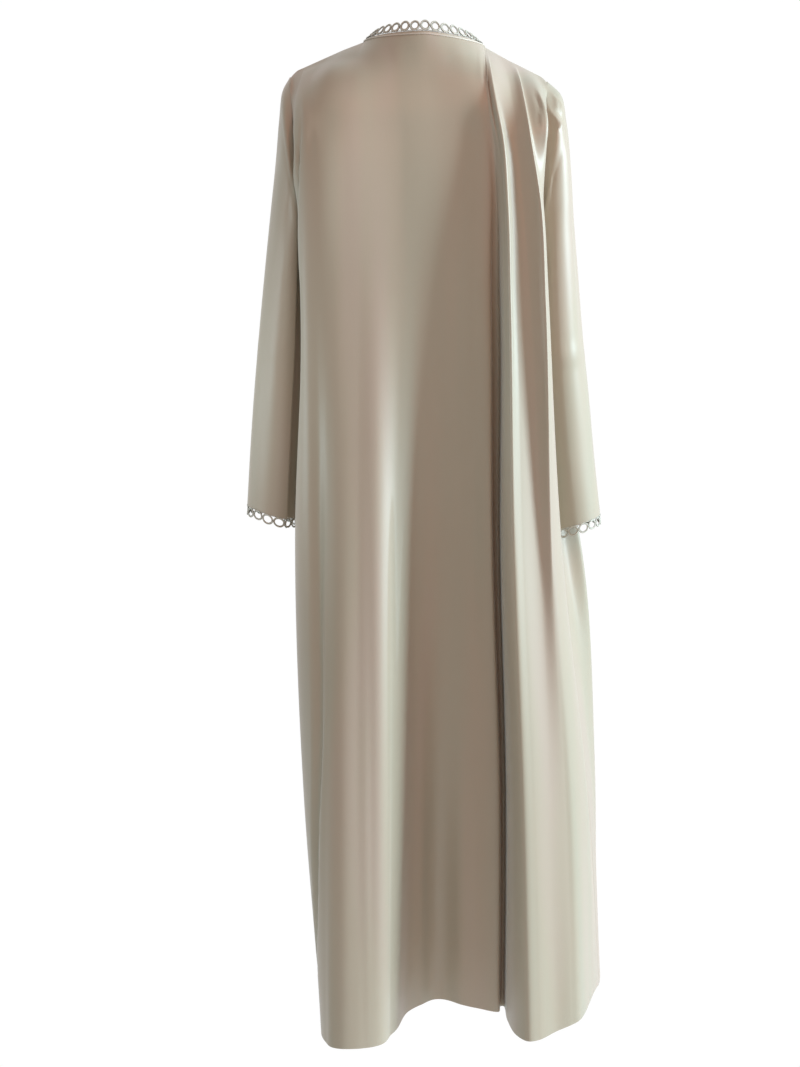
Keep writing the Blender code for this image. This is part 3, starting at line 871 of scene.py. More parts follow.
SLEEVE_CREASES = {
    Side.LEFT: table(Crease, (
        ("inner_bulge", 44, 14, 0.0, ((-90, 66, 0), (-160, 64, 3), (-330, 62, 6), (-560, 62, 8),
         (-680, 64, 6))),
        ("seam_tuck", 9, 34, 0.2, ((-130, 74, 0), (-190, 73, -8), (-250, 71, -14),
         (-440, 69, -16), (-600, 70, -14), (-680, 74, -8))),
        ("front_hang", 22, 30, 0.1, ((-90, 150, 0), (-220, 146, 4), (-480, 150, 4),
         (-700, 152, 3))),
        ("outer_soft", 30, 26, 0.0, ((-120, 12, 0), (-300, 10, 1.2), (-520, 14, 1.5),
         (-700, 16, 1))),
    )),
    Side.RIGHT: table(Crease, (
        ("seam_tuck", 14, 26, 0.2, ((-90, 80, 0), (-140, 79, -6), (-240, 77, -10),
         (-350, 77, -12), (-450, 78, -12), (-620, 82, -8), (-690, 86, -4))),
        ("back_swell", 30, 60, 0.0, ((-70, 32, 0), (-120, 32, 6), (-260, 34, 6), (-420, 38, 2),
         (-560, 40, 0))),
        ("front_hang", 24, 28, 0.1, ((-100, 146, 0), (-240, 148, 4), (-500, 152, 3.5),
         (-700, 150, 3))),
    )),
}

FRONT_CREASES = {
    Side.RIGHT: table(Crease, (
        ("hang_one", 16, 24, 0.2, ((-200, 98, 0), (-350, 97, 3), (-690, 110, 6), (-1050, 124, 7),
         (-1390, 134, 6)), (2.5, 5.0)),
        ("hang_two", 20, 15, 0.1, ((-320, 64, 0), (-690, 90, -4), (-1050, 106, -7),
         (-1390, 120, -5)), (3.6, 5.6)),
        ("hang_three", 14, 18, 0.3, ((-480, 40, 0), (-690, 46, 3), (-1050, 60, 5),
         (-1390, 72, 4)), (4.6, 6.0)),
        ("hang_four", 22, 18, 0.2, ((-620, 168, 0), (-800, 186, -4), (-1100, 206, -7),
         (-1390, 212, -6)), (1.4, 3.9)),
        ("bust_fall", 26, 30, 0.0, ((-90, 104, 0), (-190, 100, 3), (-330, 98, 0)), (2.0, 5.5)),
    )),
    Side.LEFT: table(Crease, (
        ("hang_one", 18, 20, 0.2, ((-230, -94, 0), (-380, -96, 3.5), (-690, -101, 5.5),
         (-1000, -104, 7), (-1390, -106, 5)), (2.5, 5.0)),
        ("hang_two", 16, 22, 0.1, ((-380, -64, 0), (-690, -70, -4.5), (-1050, -76, -6),
         (-1390, -80, -6)), (3.6, 5.6)),
        ("hang_three", 17, 13, 0.3, ((-540, -34, 0), (-720, -38, 2.5), (-1050, -44, 5),
         (-1390, -56, 4.5)), (4.6, 6.0)),
        ("hang_four", 20, 24, 0.1, ((-300, -134, 0), (-600, -138, -4), (-1000, -140, -7),
         (-1390, -138, -6)), (1.2, 3.4)),
        ("bust_fall", 30, 24, 0.0, ((-100, -100, 0), (-200, -98, 3.5), (-350, -94, 0)),
         (2.0, 5.5)),
    )),
}

FRONT_PUCKERS = {
    Side.RIGHT: table(Pucker, (
        ("shoulder_drag", 1, 9.0, 2.0, 0.4, ((122, -54), (136, -92), (140, -150))),
        ("shoulder_dent", 1, 8.0, -1.8, 0.3, ((108, -58), (120, -96), (124, -150))),
        ("armhole_drag", 1, 10.0, -2.2, 0.3, ((150, -246), (128, -270), (100, -282))),
        ("armhole_lift", 1, 9.0, 1.8, 0.3, ((150, -268), (124, -296), (94, -310))),
    )),
    Side.LEFT: table(Pucker, (
        ("shoulder_drag", 1, 9.0, 2.0, 0.4, ((-132, -58), (-146, -100), (-148, -166))),
        ("shoulder_dent", 1, 8.0, -1.6, 0.3, ((-116, -60), (-130, -104), (-132, -170))),
        ("armhole_drag", 1, 11.0, -2.4, 0.3, ((-156, -240), (-132, -268), (-98, -276))),
        ("armhole_lift", 1, 9.0, 1.6, 0.3, ((-158, -268), (-130, -300), (-104, -316))),
    )),
}

BACK_PUCKERS = table(Pucker, (
    ("leaf_groove", -1, 3.6, -5.0, 0.5, ((-163, -112), (-167, -150), (-169, -200), (-171, -245),
     (-173, -285))),
    ("leaf_rim", -1, 4.0, 2.2, 0.7, ((153, -62), (160, -84), (164, -102), (164, -124),
     (160, -150))),
    ("leaf_dent", -1, 5.0, -1.8, 0.4, ((149, -66), (155, -84), (154, -98))),
    ("leaf_dent_low", -1, 4.0, -1.4, 0.4, ((155, -96), (152, -106), (155, -116))),
    ("left_shoulder_drag", -1, 9.0, 1.6, 0.3, ((-172, -66), (-160, -96), (-154, -140))),
    ("left_shoulder_dent", -1, 8.0, -1.4, 0.3, ((-166, -90), (-152, -130), (-149, -170))),
))

SLEEVE_PUCKERS = {
    Side.LEFT: table(Pucker, (
        ("head_soft", -1, 7.0, 1.5, 0.4, ((-172, -66), (-182, -92), (-184, -126))),
        ("elbow_one", -1, 24.0, 1.2, 0.1, ((-176, -408), (-206, -420), (-234, -404))),
        ("elbow_front_one", 1, 12.0, -3.2, 0.3, ((-168, -430), (-196, -402), (-226, -388))),
        ("elbow_front_two", 1, 13.0, -2.6, 0.2, ((-172, -474), (-200, -446), (-232, -436))),
        ("elbow_front_three", 1, 16.0, 2.0, 0.2, ((-170, -452), (-198, -424), (-228, -412))),
        ("upper_front_drag", 1, 18.0, -2.4, 0.2, ((-170, -290), (-190, -220), (-204, -150))),
        ("head_front_one", 1, 6.0, 2.0, 0.6, ((-168, -64), (-180, -86), (-184, -118))),
        ("head_front_two", 1, 7.0, -1.6, 0.4, ((-172, -80), (-182, -108), (-180, -146))),
    )),
    Side.RIGHT: table(Pucker, (
        ("head_ridge", -1, 4.0, 3.0, 0.8, ((161, -56), (168, -72), (174, -92), (180, -104),
         (186, -118))),
        ("head_pucker", -1, 3.4, 2.2, 0.9, ((187, -102), (184, -112), (178, -124))),
        ("head_dent", -1, 6.0, -2.4, 0.4, ((168, -84), (174, -106), (175, -130), (173, -158))),
        ("head_valley", -1, 5.0, -2.4, 0.4, ((182, -88), (188, -100), (190, -112))),
        ("head_wrinkle_one", -1, 3.6, 2.0, 0.7, ((176, -62), (182, -74), (183, -88))),
        ("head_wrinkle_two", -1, 3.6, 1.8, 0.7, ((184, -70), (189, -82), (190, -96))),
        ("elbow_one", -1, 22.0, 1.4, 0.1, ((170, -418), (200, -430), (228, -416))),
        ("elbow_front_one", 1, 12.0, -3.0, 0.3, ((160, -440), (186, -410), (218, -394))),
        ("elbow_front_two", 1, 14.0, -2.8, 0.2, ((164, -486), (192, -456), (224, -444))),
        ("elbow_front_three", 1, 16.0, 2.2, 0.2, ((162, -464), (188, -434), (220, -420))),
        ("upper_front_drag", 1, 18.0, -2.6, 0.2, ((158, -296), (182, -226), (198, -150))),
        ("head_front_one", 1, 6.0, 2.2, 0.6, ((160, -66), (170, -88), (176, -116))),
        ("head_front_two", 1, 7.0, -1.8, 0.4, ((164, -82), (172, -110), (170, -150))),
    )),
}


@dataclass(frozen=True)
class ClothWall:
    """A wall of cloth on a grid of points, thicker where its edge is turned in."""

    cloth: float = 0.7              # thickness of the satin
    turned_cloth: float = 1.9       # thickness of cloth over its turned edge
    merge: float = 0.02 * MM        # the two sides of a tube's seam are nearer than this
    least_face: float = 1e-12       # a face of less area, in square metres, is none

    def mesh(self, points: np.ndarray, normals: np.ndarray, across: np.ndarray,
             down: np.ndarray, turned: np.ndarray, tube: bool) -> bmesh.types.BMesh:
        """Build the wall.

        Args:
            points: Outer points, rows by columns by 3, in millimetres.
            normals: Outward directions of the same shape.
            across: Place of each point across the cloth, in millimetres.
            down: Place of each point down the cloth, in millimetres.
            turned: 1 where the cloth is doubled by a turned edge, else 0.
            tube: Whether the last column is the first one again.

        Returns:
            The wall in metres, its inner faces with material number 1.
        """
        rows, columns = points.shape[:2]
        inner = points - normals * (self.cloth + (self.turned_cloth - self.cloth)
                                    * turned)[..., None]
        bm = bmesh.new()
        bmesh.ops.create_grid(bm, x_segments=columns - 1, y_segments=rows - 1, size=1.0)
        number = number_verts(bm)
        cloth_map = bm.loops.layers.uv.new(CLOTH_MAP)
        places = np.stack([across, down], axis=-1).reshape(-1, 2) * MM
        outer_list = (points.reshape(-1, 3) * MM).tolist()
        inner_list = (inner.reshape(-1, 3) * MM).tolist()
        for vert in bm.verts:
            vert.co = outer_list[vert[number]]
        for face in bm.faces:
            for loop in face.loops:
                loop[cloth_map].uv = places[loop.vert[number]]
        bm.normal_update()
        bm.faces.ensure_lookup_table()
        middle = bm.faces[len(bm.faces) // 2]
        outward = normals.reshape(-1, 3)[middle.verts[0][number]]
        if middle.normal.dot(Vector(outward)) < 0:
            bmesh.ops.reverse_faces(bm, faces=bm.faces[:])
        outer_faces = set(bm.faces)
        made = bmesh.ops.extrude_face_region(bm, geom=bm.faces[:], use_keep_orig=True)["geom"]
        for item in made:
            if isinstance(item, bmesh.types.BMVert):
                item.co = inner_list[item[number]]
            elif isinstance(item, bmesh.types.BMFace) and item not in outer_faces:
                item.material_index = 1
        if tube:
            bmesh.ops.remove_doubles(bm, verts=bm.verts[:], dist=self.merge)
            walls = [face for face in bm.faces if face.calc_area() < self.least_face]
            bmesh.ops.delete(bm, geom=walls, context="FACES")
        bmesh.ops.recalc_face_normals(bm, faces=bm.faces[:])
        return bm


@dataclass(kw_only=True)
class ClothPiece:
    """A piece cut from the satin, on a grid with rows down it and columns across it.

    edge_rows are the heights of its last rows above its lower edge. The turned edge
    doubles the cloth from the third of them down, and is sewn along the second.
    """

    name: str
    node: str
    creases: tuple[Crease, ...]
    puckers: tuple[Pucker, ...]
    edge_rows: tuple[float, ...]
    tube: bool = False              # whether its last column is its first one again

    def grid(self) -> np.ndarray:
        """Grid of the outer face, in millimetres."""
        raise NotImplementedError

    def outward(self, points: np.ndarray) -> np.ndarray:
        """Outward directions of a grid of points."""
        raise NotImplementedError

    def doubled(self, points: np.ndarray) -> np.ndarray:
        """1 at the points where the cloth is doubled, else 0."""
        turned = np.zeros(points.shape[:2])
        turned[2 - len(self.edge_rows):] = 1.0
        return turned

    def stitch_paths(self) -> list[tuple[np.ndarray, np.ndarray]]:
        """Where its turned edge is sewn.

        Returns:
            For each row of stitches, its points and their outward directions.
        """
        points = self.grid()
        row = 1 - len(self.edge_rows)
        return [(points[row], self.outward(points)[row])]

    def build(self) -> bpy.types.Object:
        """Make its cloth.

        Returns:
            The new piece, which stands for its node.
        """
        points = self.grid()
        across, down = path_lengths(points, 1), path_lengths(points, 0)
        area = (np.diff(across)[1:-1] * np.diff(down, axis=0)[:-1, :-1]).sum()
        LOG.info("%s: %.0f to %.0f mm across, longest %.0f mm, area %.3f m2", self.name,
                 across[0, -1], across[:, -1].max(), down[-1].max(), area * MM * MM)
        if not self.tube:
            across = across - across[:, points.shape[1] // 2][:, None]
        bm = ClothWall().mesh(points, self.outward(points), across, down,
                              self.doubled(points), self.tube)
        return add_piece(self.name, bm, [SATIN_FACE, SATIN_REVERSE], [self.node])


@dataclass(kw_only=True)
class BodyPanel(ClothPiece):
    """The back or a front: cloth that hangs from a shoulder seam and the neck."""

    lines: tuple[FoldLine, ...]
    back: int                       # -1 for the back, 1 for a front
    edge_rows: tuple[float, ...] = (16.0, 13.0, 12.0, 8.0, 4.0, 1.0, 0.0)
    free_edge: bool = False         # whether its last line is a free, turned edge
    free_hem: float = 12.0          # width of that turned edge
    stitch_inset: float = 1.0       # from the inner side of that edge to its stitches
    first_stitches: int = 3         # the row where they start, clear of the neck
    steps: int = 12
    shoulder_rows: int = 45
    skirt_rows: int = 92
    hem_gap: float = 4.0            # from the skirt's last row to the first edge row
    seam_sink: float = 1.5
    seam_reach: float = 9.0
    seam_crest: float = 0.6
    top_reach: float = 70.0         # how far down the cut of the top edge is felt
    flat_top: float = 25.0          # how far down the creases grow to their full lift

    def line_column(self, line: FoldLine) -> np.ndarray:
        """Points down one fold line.

        Args:
            line: The fold line.

        Returns:
            A point for each row of the grid.
        """
        hem = CUT.hem_z + line.rise
        rounding = (1 - np.cos(np.pi * np.arange(self.shoulder_rows + 1)
                               / self.shoulder_rows)) / 2
        last = hem + self.edge_rows[0] + self.hem_gap
        skirt = CUT.underarm_z + (last - CUT.underarm_z) * (
            np.arange(1, self.skirt_rows + 1) / self.skirt_rows)
        skirt = np.concatenate([skirt, hem + np.array(self.edge_rows)])
        kind, place = line.top
        if kind == "armhole":
            side = int(place)
            above = np.array([CUT.armhole_point(side, row / self.shoulder_rows, self.back)
                              for row in range(self.shoulder_rows + 1)])
            knots = [-CUT.underarm_z, *(-level for level in LEVELS[1:]), -hem]
            places = np.array([above[-1][:2], line.chest, line.hip, line.knee, line.hem])
            slopes = inner_slopes(knots, places)
            heights = skirt
        else:
            top = CUT.shoulder_point(place) if kind == "shoulder" else CUT.neck_point(place)
            above = np.zeros((0, 3))
            stations = sorted([(-top[2], *top[:2]), *((-z, x, y) for z, x, y in line.also),
                               *((-level, *place) for level, place in zip(
                                   LEVELS, (line.yoke, line.chest, line.hip, line.knee))),
                               (-hem, *line.hem)])
            knots = [station[0] for station in stations]
            places = np.array([station[1:] for station in stations])
            slopes = inner_slopes(knots, places)
            slopes[1] = (places[2] - places[1]) / (knots[2] - knots[1])
            slopes[0] = 2 * (places[1] - places[0]) / (knots[1] - knots[0]) - slopes[1]
            heights = np.concatenate([top[2] + (CUT.underarm_z - top[2]) * rounding, skirt])
        flat = smooth_values(knots, places, slopes, -heights)
        return np.concatenate([above, np.column_stack([flat, heights])])

    def top_row(self) -> np.ndarray:
        """Points of the top edge, exactly on the shoulder seams and the neck edge.

        Returns:
            A point for each column of the grid.
        """
        made = []
        for one, other in zip(self.lines, self.lines[1:]):
            for part in np.arange(self.steps) / self.steps:
                if one.top[0] == other.top[0] == "neck":
                    made.append(CUT.neck_point(one.top[1] * (1 - part) + other.top[1] * part))
                else:
                    start, end = CUT.seam_out(one.top), CUT.seam_out(other.top)
                    made.append(CUT.shoulder_point(start + (end - start) * part))
        last = self.lines[-1].top
        made.append(CUT.neck_point(last[1]) if last[0] == "neck"
                    else CUT.shoulder_point(CUT.seam_out(last)))
        return np.array(made)

    def smooth_grid(self) -> np.ndarray:
        """Grid of the outer face before its creases.

        Returns:
            The points, rows by columns by 3, in millimetres.
        """
        columns = np.stack([self.line_column(line) for line in self.lines])
        rows = np.array([smooth_across(columns[:, row], self.steps)
                         for row in range(columns.shape[1])])
        fade = np.clip(1 - path_lengths(rows, 0) / self.top_reach, 0, 1) ** 2
        return rows + (self.top_row() - rows[0]) * fade[..., None]

    def outward(self, points: np.ndarray) -> np.ndarray:
        """Outward directions of a grid of points, from the chords beside each point."""
        along = neighbour_chords(points.swapaxes(0, 1)).swapaxes(0, 1)
        sign = 1 if self.back < 0 else np.sign(points[-1, 0, 0] - points[-1, -1, 0])
        return unit(np.cross(neighbour_chords(points), along) * sign)

    def column_at(self, points: np.ndarray, crease: Crease, height: float, x: float) -> float:
        """The column, among a crease's own lines, that stands at x at a height.

        Args:
            points: The panel's smooth grid.
            crease: The crease whose lines are searched.
            height: The height, in millimetres.
            x: The place across, in millimetres.

        Returns:
            The column, with its fraction.
        """
        first = int(crease.lines[0] * self.steps)
        last = min(int(crease.lines[1] * self.steps), points.shape[1] - 1)
        gap = np.array([np.interp(-height, -points[:, column, 2], points[:, column, 0])
                        for column in range(first, last + 1)]) - x
        crossing = np.nonzero(gap[:-1] * gap[1:] < 0)[0]
        if not len(crossing):
            return float(first + np.argmin(np.abs(gap)))
        column = int(crossing[0])
        return first + column + gap[column] / (gap[column] - gap[column + 1])

    def grid(self) -> np.ndarray:
        """Grid of the outer face with its creases and sunken seams.

        Returns:
            The points, rows by columns by 3, in millimetres.
        """
        points = self.smooth_grid()
        normals = self.outward(points)
        line_number = np.arange(points.shape[1]) / self.steps
        across = path_lengths(points, 1)
        lift = np.zeros(points.shape[:2])
        for crease in self.creases:
            near = (line_number >= crease.lines[0]) & (line_number <= crease.lines[1])
            middles = [sum(crease.lines) / 2 * self.steps if x is None
                       else self.column_at(points, crease, height, x)
                       for height, x, _ in crease.path]
            lift += crease.lift_on(-points[..., 2], across, middles) * near[None, :]
        for pucker in self.puckers:
            lift += pucker.lift_on(points, normals)
        lift *= np.clip(path_lengths(points, 0) / self.flat_top, 0, 1)
        for column in ([0] if self.free_edge else [0, -1]):
            gap = np.linalg.norm(points - points[:, column][:, None], axis=-1)
            lift -= self.seam_sink * bump_of(gap / self.seam_reach, self.seam_crest)
        return points + normals * lift[..., None]

    def doubled(self, points: np.ndarray) -> np.ndarray:
        """Find where the hem and the free edge double the cloth.

        Args:
            points: The grid.

        Returns:
            1 at the points where they do, else 0.
        """
        turned = super().doubled(points)
        if self.free_edge:
            edge = np.linalg.norm(points - points[:, -1][:, None], axis=-1)
            turned[edge <= self.free_hem] = 1.0
        return turned

    def stitch_paths(self) -> list[tuple[np.ndarray, np.ndarray]]:
        """Where its hem and its free edge are sewn.

        Returns:
            For each row of stitches, its points and their outward directions.
        """
        paths = super().stitch_paths()
        if self.free_edge:
            points = self.grid()
            across = path_lengths(points, 1)
            places = across[:, -1] - self.free_hem + self.stitch_inset
            rows = slice(self.first_stitches, 1 - len(self.edge_rows))
            paths.append(tuple(
                np.array([read_along([place], row, values)[0]
                          for place, row, values in zip(places, across, grid)])[rows]
                for grid in (points, self.outward(points))))
        return paths


@dataclass
class PrickStitches:
    """The fine stitches of a blind hem, which show as pricks on the outer face."""

    name: str
    spacing: float = 6.5
    length: float = 1.3
    radius: float = 0.22
    sink: float = -0.1              # height of a stitch's ends over the cloth
    rise: float = 0.16              # height of its middle
    uneven: float = 0.08            # how far their half lengths differ, as a share

    def build(self, paths: Iterable[tuple[np.ndarray, np.ndarray]]) -> bpy.types.Object:
        """Make the stitches along each path as one joined mesh.

        Args:
            paths: For each path, its points and their outward directions, in millimetres.

        Returns:
            The new piece.
        """
        bm = bmesh.new()
        cloth_map = bm.loops.layers.uv.new(CLOTH_MAP)
        for points, normals in paths:
            places = path_lengths(points)
            middles = np.arange(self.spacing, places[-1] - self.spacing, self.spacing)
            for index, middle in enumerate(middles.tolist()):
                reach = self.length * (0.5 + self.uneven * math.sin(index * 1.9))
                ends = [middle - reach, middle, middle + reach]
                out = read_along(ends, places, normals)
                path = read_along(ends, places, points)
                path += out * np.array([self.sink, self.rise, self.sink])[:, None]
                sideways = unit(np.cross(unit(path[-1] - path[0]), out[1]))
                corners = np.array([sideways, out[1], -sideways, -out[1]])
                swells = self.radius * np.array([0.5, 1.0, 0.5])
                rings = path[:, None] + corners * swells[:, None, None]
                add_tube(bm, cloth_map, rings * MM, np.array(ends) * MM, np.zeros(4))
        bmesh.ops.recalc_face_normals(bm, faces=bm.faces[:])
        return add_piece(self.name, bm, [SEWING_THREAD])


# ---------------------------------------------------------------- sleeves

@dataclass(frozen=True)
class SleeveRing:
    """A ring of a sleeve seen from behind: its outer and inner point, and its depth."""

    outer_out: float
    outer_z: float
    inner_out: float
    inner_z: float
    forward: float
    half_depth: float


SLEEVE_RINGS = {
    Side.LEFT: table(SleeveRing, (
        (198, -58, 168.5, -272, 0, 64),
        (203, -95, 169, -284, 0, 64),
        (208, -150, 169, -302, 2, 62),
        (216, -225, 169, -328, 4, 59),
        (224, -300, 168, -366, 7, 56),
        (233, -385, 167.5, -420, 12, 53),
        (243, -485, 170.5, -500, 20, 50),
        (250, -565, 175.5, -582, 30, 48),
        (256, -644, 184, -664, 40, 46),
    )),
    Side.RIGHT: table(SleeveRing, (
        (190, -62, 153.5, -275, 0, 64),
        (199, -99, 154, -288, 0, 64),
        (206, -160, 154, -306, 2, 62),
        (211, -230, 155, -332, 4, 59),
        (218, -305, 155, -370, 7, 56),
        (226, -390, 157, -425, 12, 53),
        (237, -482, 162, -502, 20, 50),
        (247, -572, 172, -592, 30, 48),
        (258, -658, 184, -680, 40, 46),
    )),
}


@dataclass(kw_only=True)
class Sleeve(ClothPiece):
    """A long straight sleeve, a tube from the armhole to the cuff."""

    side: Side
    edge_rows: tuple[float, ...] = (14.0, 11.0, 10.0, 5.0, 1.0, 0.0)
    tube: bool = True
    fullness: float = 1.0           # 1 for an oval section, less for a fuller inner side
    half_columns: int = 104
    ring_steps: int = 13
    head_draw: float = 1.35         # how far the rows draw towards the armhole
    edge_gap: float = 3.0           # from the last of those rows to the first edge row
    head_sink: float = 4.0          # how far the cloth sinks at the armhole seam
    head_reach: float = 20.0        # how far from the seam that is felt
    head_crest: float = 0.7
    head_roll: float = 1.2          # how far it stands out beyond the seam
    roll_place: float = 24.0        # where it stands out most, down from the seam
    roll_reach: float = 16.0
    roll_crest: float = 0.2

    def ring_points(self) -> np.ndarray:
        """Points of each ring of the table, the armhole first.

        Returns:
            The points, rings by columns by 3, in millimetres.
        """
        sign, count = self.side.value, 2 * self.half_columns
        turns = [(k / self.half_columns, -1) for k in range(self.half_columns + 1)]
        turns += [(2 - k / self.half_columns, 1) for k in range(self.half_columns + 1, count)]
        rings = [np.array([CUT.armhole_point(sign, turn, back) for turn, back in turns])]
        angles = np.pi * np.arange(count) / self.half_columns
        for ring in SLEEVE_RINGS[self.side]:
            outer = np.array([sign * ring.outer_out, ring.forward, ring.outer_z])
            inner = np.array([sign * ring.inner_out, ring.forward, ring.inner_z])
            middle, reach = (outer + inner) / 2, (outer - inner) / 2
            across = np.cos(angles)
            across = np.where(across < 0, -np.abs(across) ** self.fullness, across)
            rings.append(middle + across[:, None] * reach
                         - np.sin(angles)[:, None] * np.array([0, ring.half_depth, 0]))
        return np.array(rings)

    def smooth_grid(self) -> np.ndarray:
        """Grid of the sleeve before its creases, closed round.

        Returns:
            The points, rows by columns by 3, in millimetres.
        """
        rings = self.ring_points()
        knots = path_lengths(rings.mean(axis=1))
        last = knots[-1]
        rows = (len(rings) - 1) * self.ring_steps
        fine = (last - self.edge_rows[0] - self.edge_gap) * (
            np.linspace(0, 1, rows) ** self.head_draw)
        places = np.concatenate([fine, last - np.array(self.edge_rows)])
        flat = rings.reshape(len(rings), -1)
        made = smooth_values(knots, flat, inner_slopes(knots, flat), places)
        made = made.reshape(len(places), -1, 3)
        return np.concatenate([made, made[:, :1]], axis=1)

    def outward(self, points: np.ndarray) -> np.ndarray:
        """Outward directions of the sleeve's grid.

        Args:
            points: The grid.

        Returns:
            Directions of the same shape.
        """
        ring = points[:, :-1]
        along = np.roll(ring, -1, axis=1) - np.roll(ring, 1, axis=1)
        normals = unit(np.cross(neighbour_chords(ring), along))
        if (normals * (ring - ring.mean(axis=1, keepdims=True))).sum() < 0:
            normals = -normals
        return np.concatenate([normals, normals[:, :1]], axis=1)

    def grid(self) -> np.ndarray:
        """Outer points of the sleeve with its creases, rows down it and columns round it.

        Returns:
            The points, rows by columns by 3, in millimetres.
        """
        points = self.smooth_grid()
        normals = self.outward(points)
        down = path_lengths(points, 0)
        across = path_lengths(points, 1)
        turn = np.arange(points.shape[1]) * np.pi / self.half_columns
        lift = np.zeros(points.shape[:2])
        for crease in self.creases:
            middles = [place / 100 * self.half_columns for _, place, _ in crease.path]
            lift += crease.lift_on(-points[..., 2], across, middles, True)
        for pucker in self.puckers:
            lift += pucker.lift_on(points, normals)
        lift *= np.clip(down / self.head_reach, 0, 1)
        lift += np.abs(np.sin(turn)) * (
            self.head_roll * bump_of((down - self.roll_place) / self.roll_reach,
                                     self.roll_crest)
            - self.head_sink * bump_of(down / self.head_reach, self.head_crest))
        return points + normals * lift[..., None]

    def cuff_edge(self, back: bool) -> "EdgeFrames":
        """Half of the cuff's edge, pointing down the sleeve.

        Args:
            back: Whether it is the half at the back.

        Returns:
            The edge.
        """
        points = self.grid()
        normals = self.outward(points)[-1]
        first = 0 if back else self.half_columns
        half = slice(first, first + self.half_columns + 1)
        down = unit((points[-1, :-1] - points[-4, :-1]).sum(axis=0))
        out = normals[half]
        return EdgeFrames(points[-1, half] - out, unit(down - out * (out @ down)[:, None]), out)


# ---------------------------------------------------------------- trim

@dataclass(frozen=True)
class EdgeFrames:
    """Places along an edge, with the direction away from the cloth and outward."""

    points: np.ndarray
    up: np.ndarray
    out: np.ndarray

    def length(self) -> float:
        """Length of the edge, in millimetres."""
        return float(path_lengths(self.points)[-1])

    def place(self, along: np.ndarray, rise: np.ndarray, proud: np.ndarray) -> np.ndarray:
        """Find points beside the edge.

        Args:
            along: Their distances along it, in millimetres.
            rise: Their distances up from it.
            proud: Their distances out from it.

        Returns:
            The points, in millimetres.
        """
        lengths = path_lengths(self.points)
        return (read_along(along, lengths, self.points)
                + unit(read_along(along, lengths, self.up)) * rise[:, None]
                + unit(read_along(along, lengths, self.out)) * proud[:, None])

    def raised(self, rise: float) -> "EdgeFrames":
        """The same edge moved away from the cloth."""
        return EdgeFrames(self.points + self.up * rise, self.up, self.out)


def neck_edge() -> EdgeFrames:
    """The neck edge from the right front edge round the nape to the left one.

    Returns:
        The edge.
    """
    points = np.array([CUT.neck_point(angle) for angle in np.linspace(172, -172, 130)])
    ways = np.array([CUT.neck_directions(point) for point in points])
    return EdgeFrames(points - ways[:, 1], ways[:, 0], ways[:, 1])


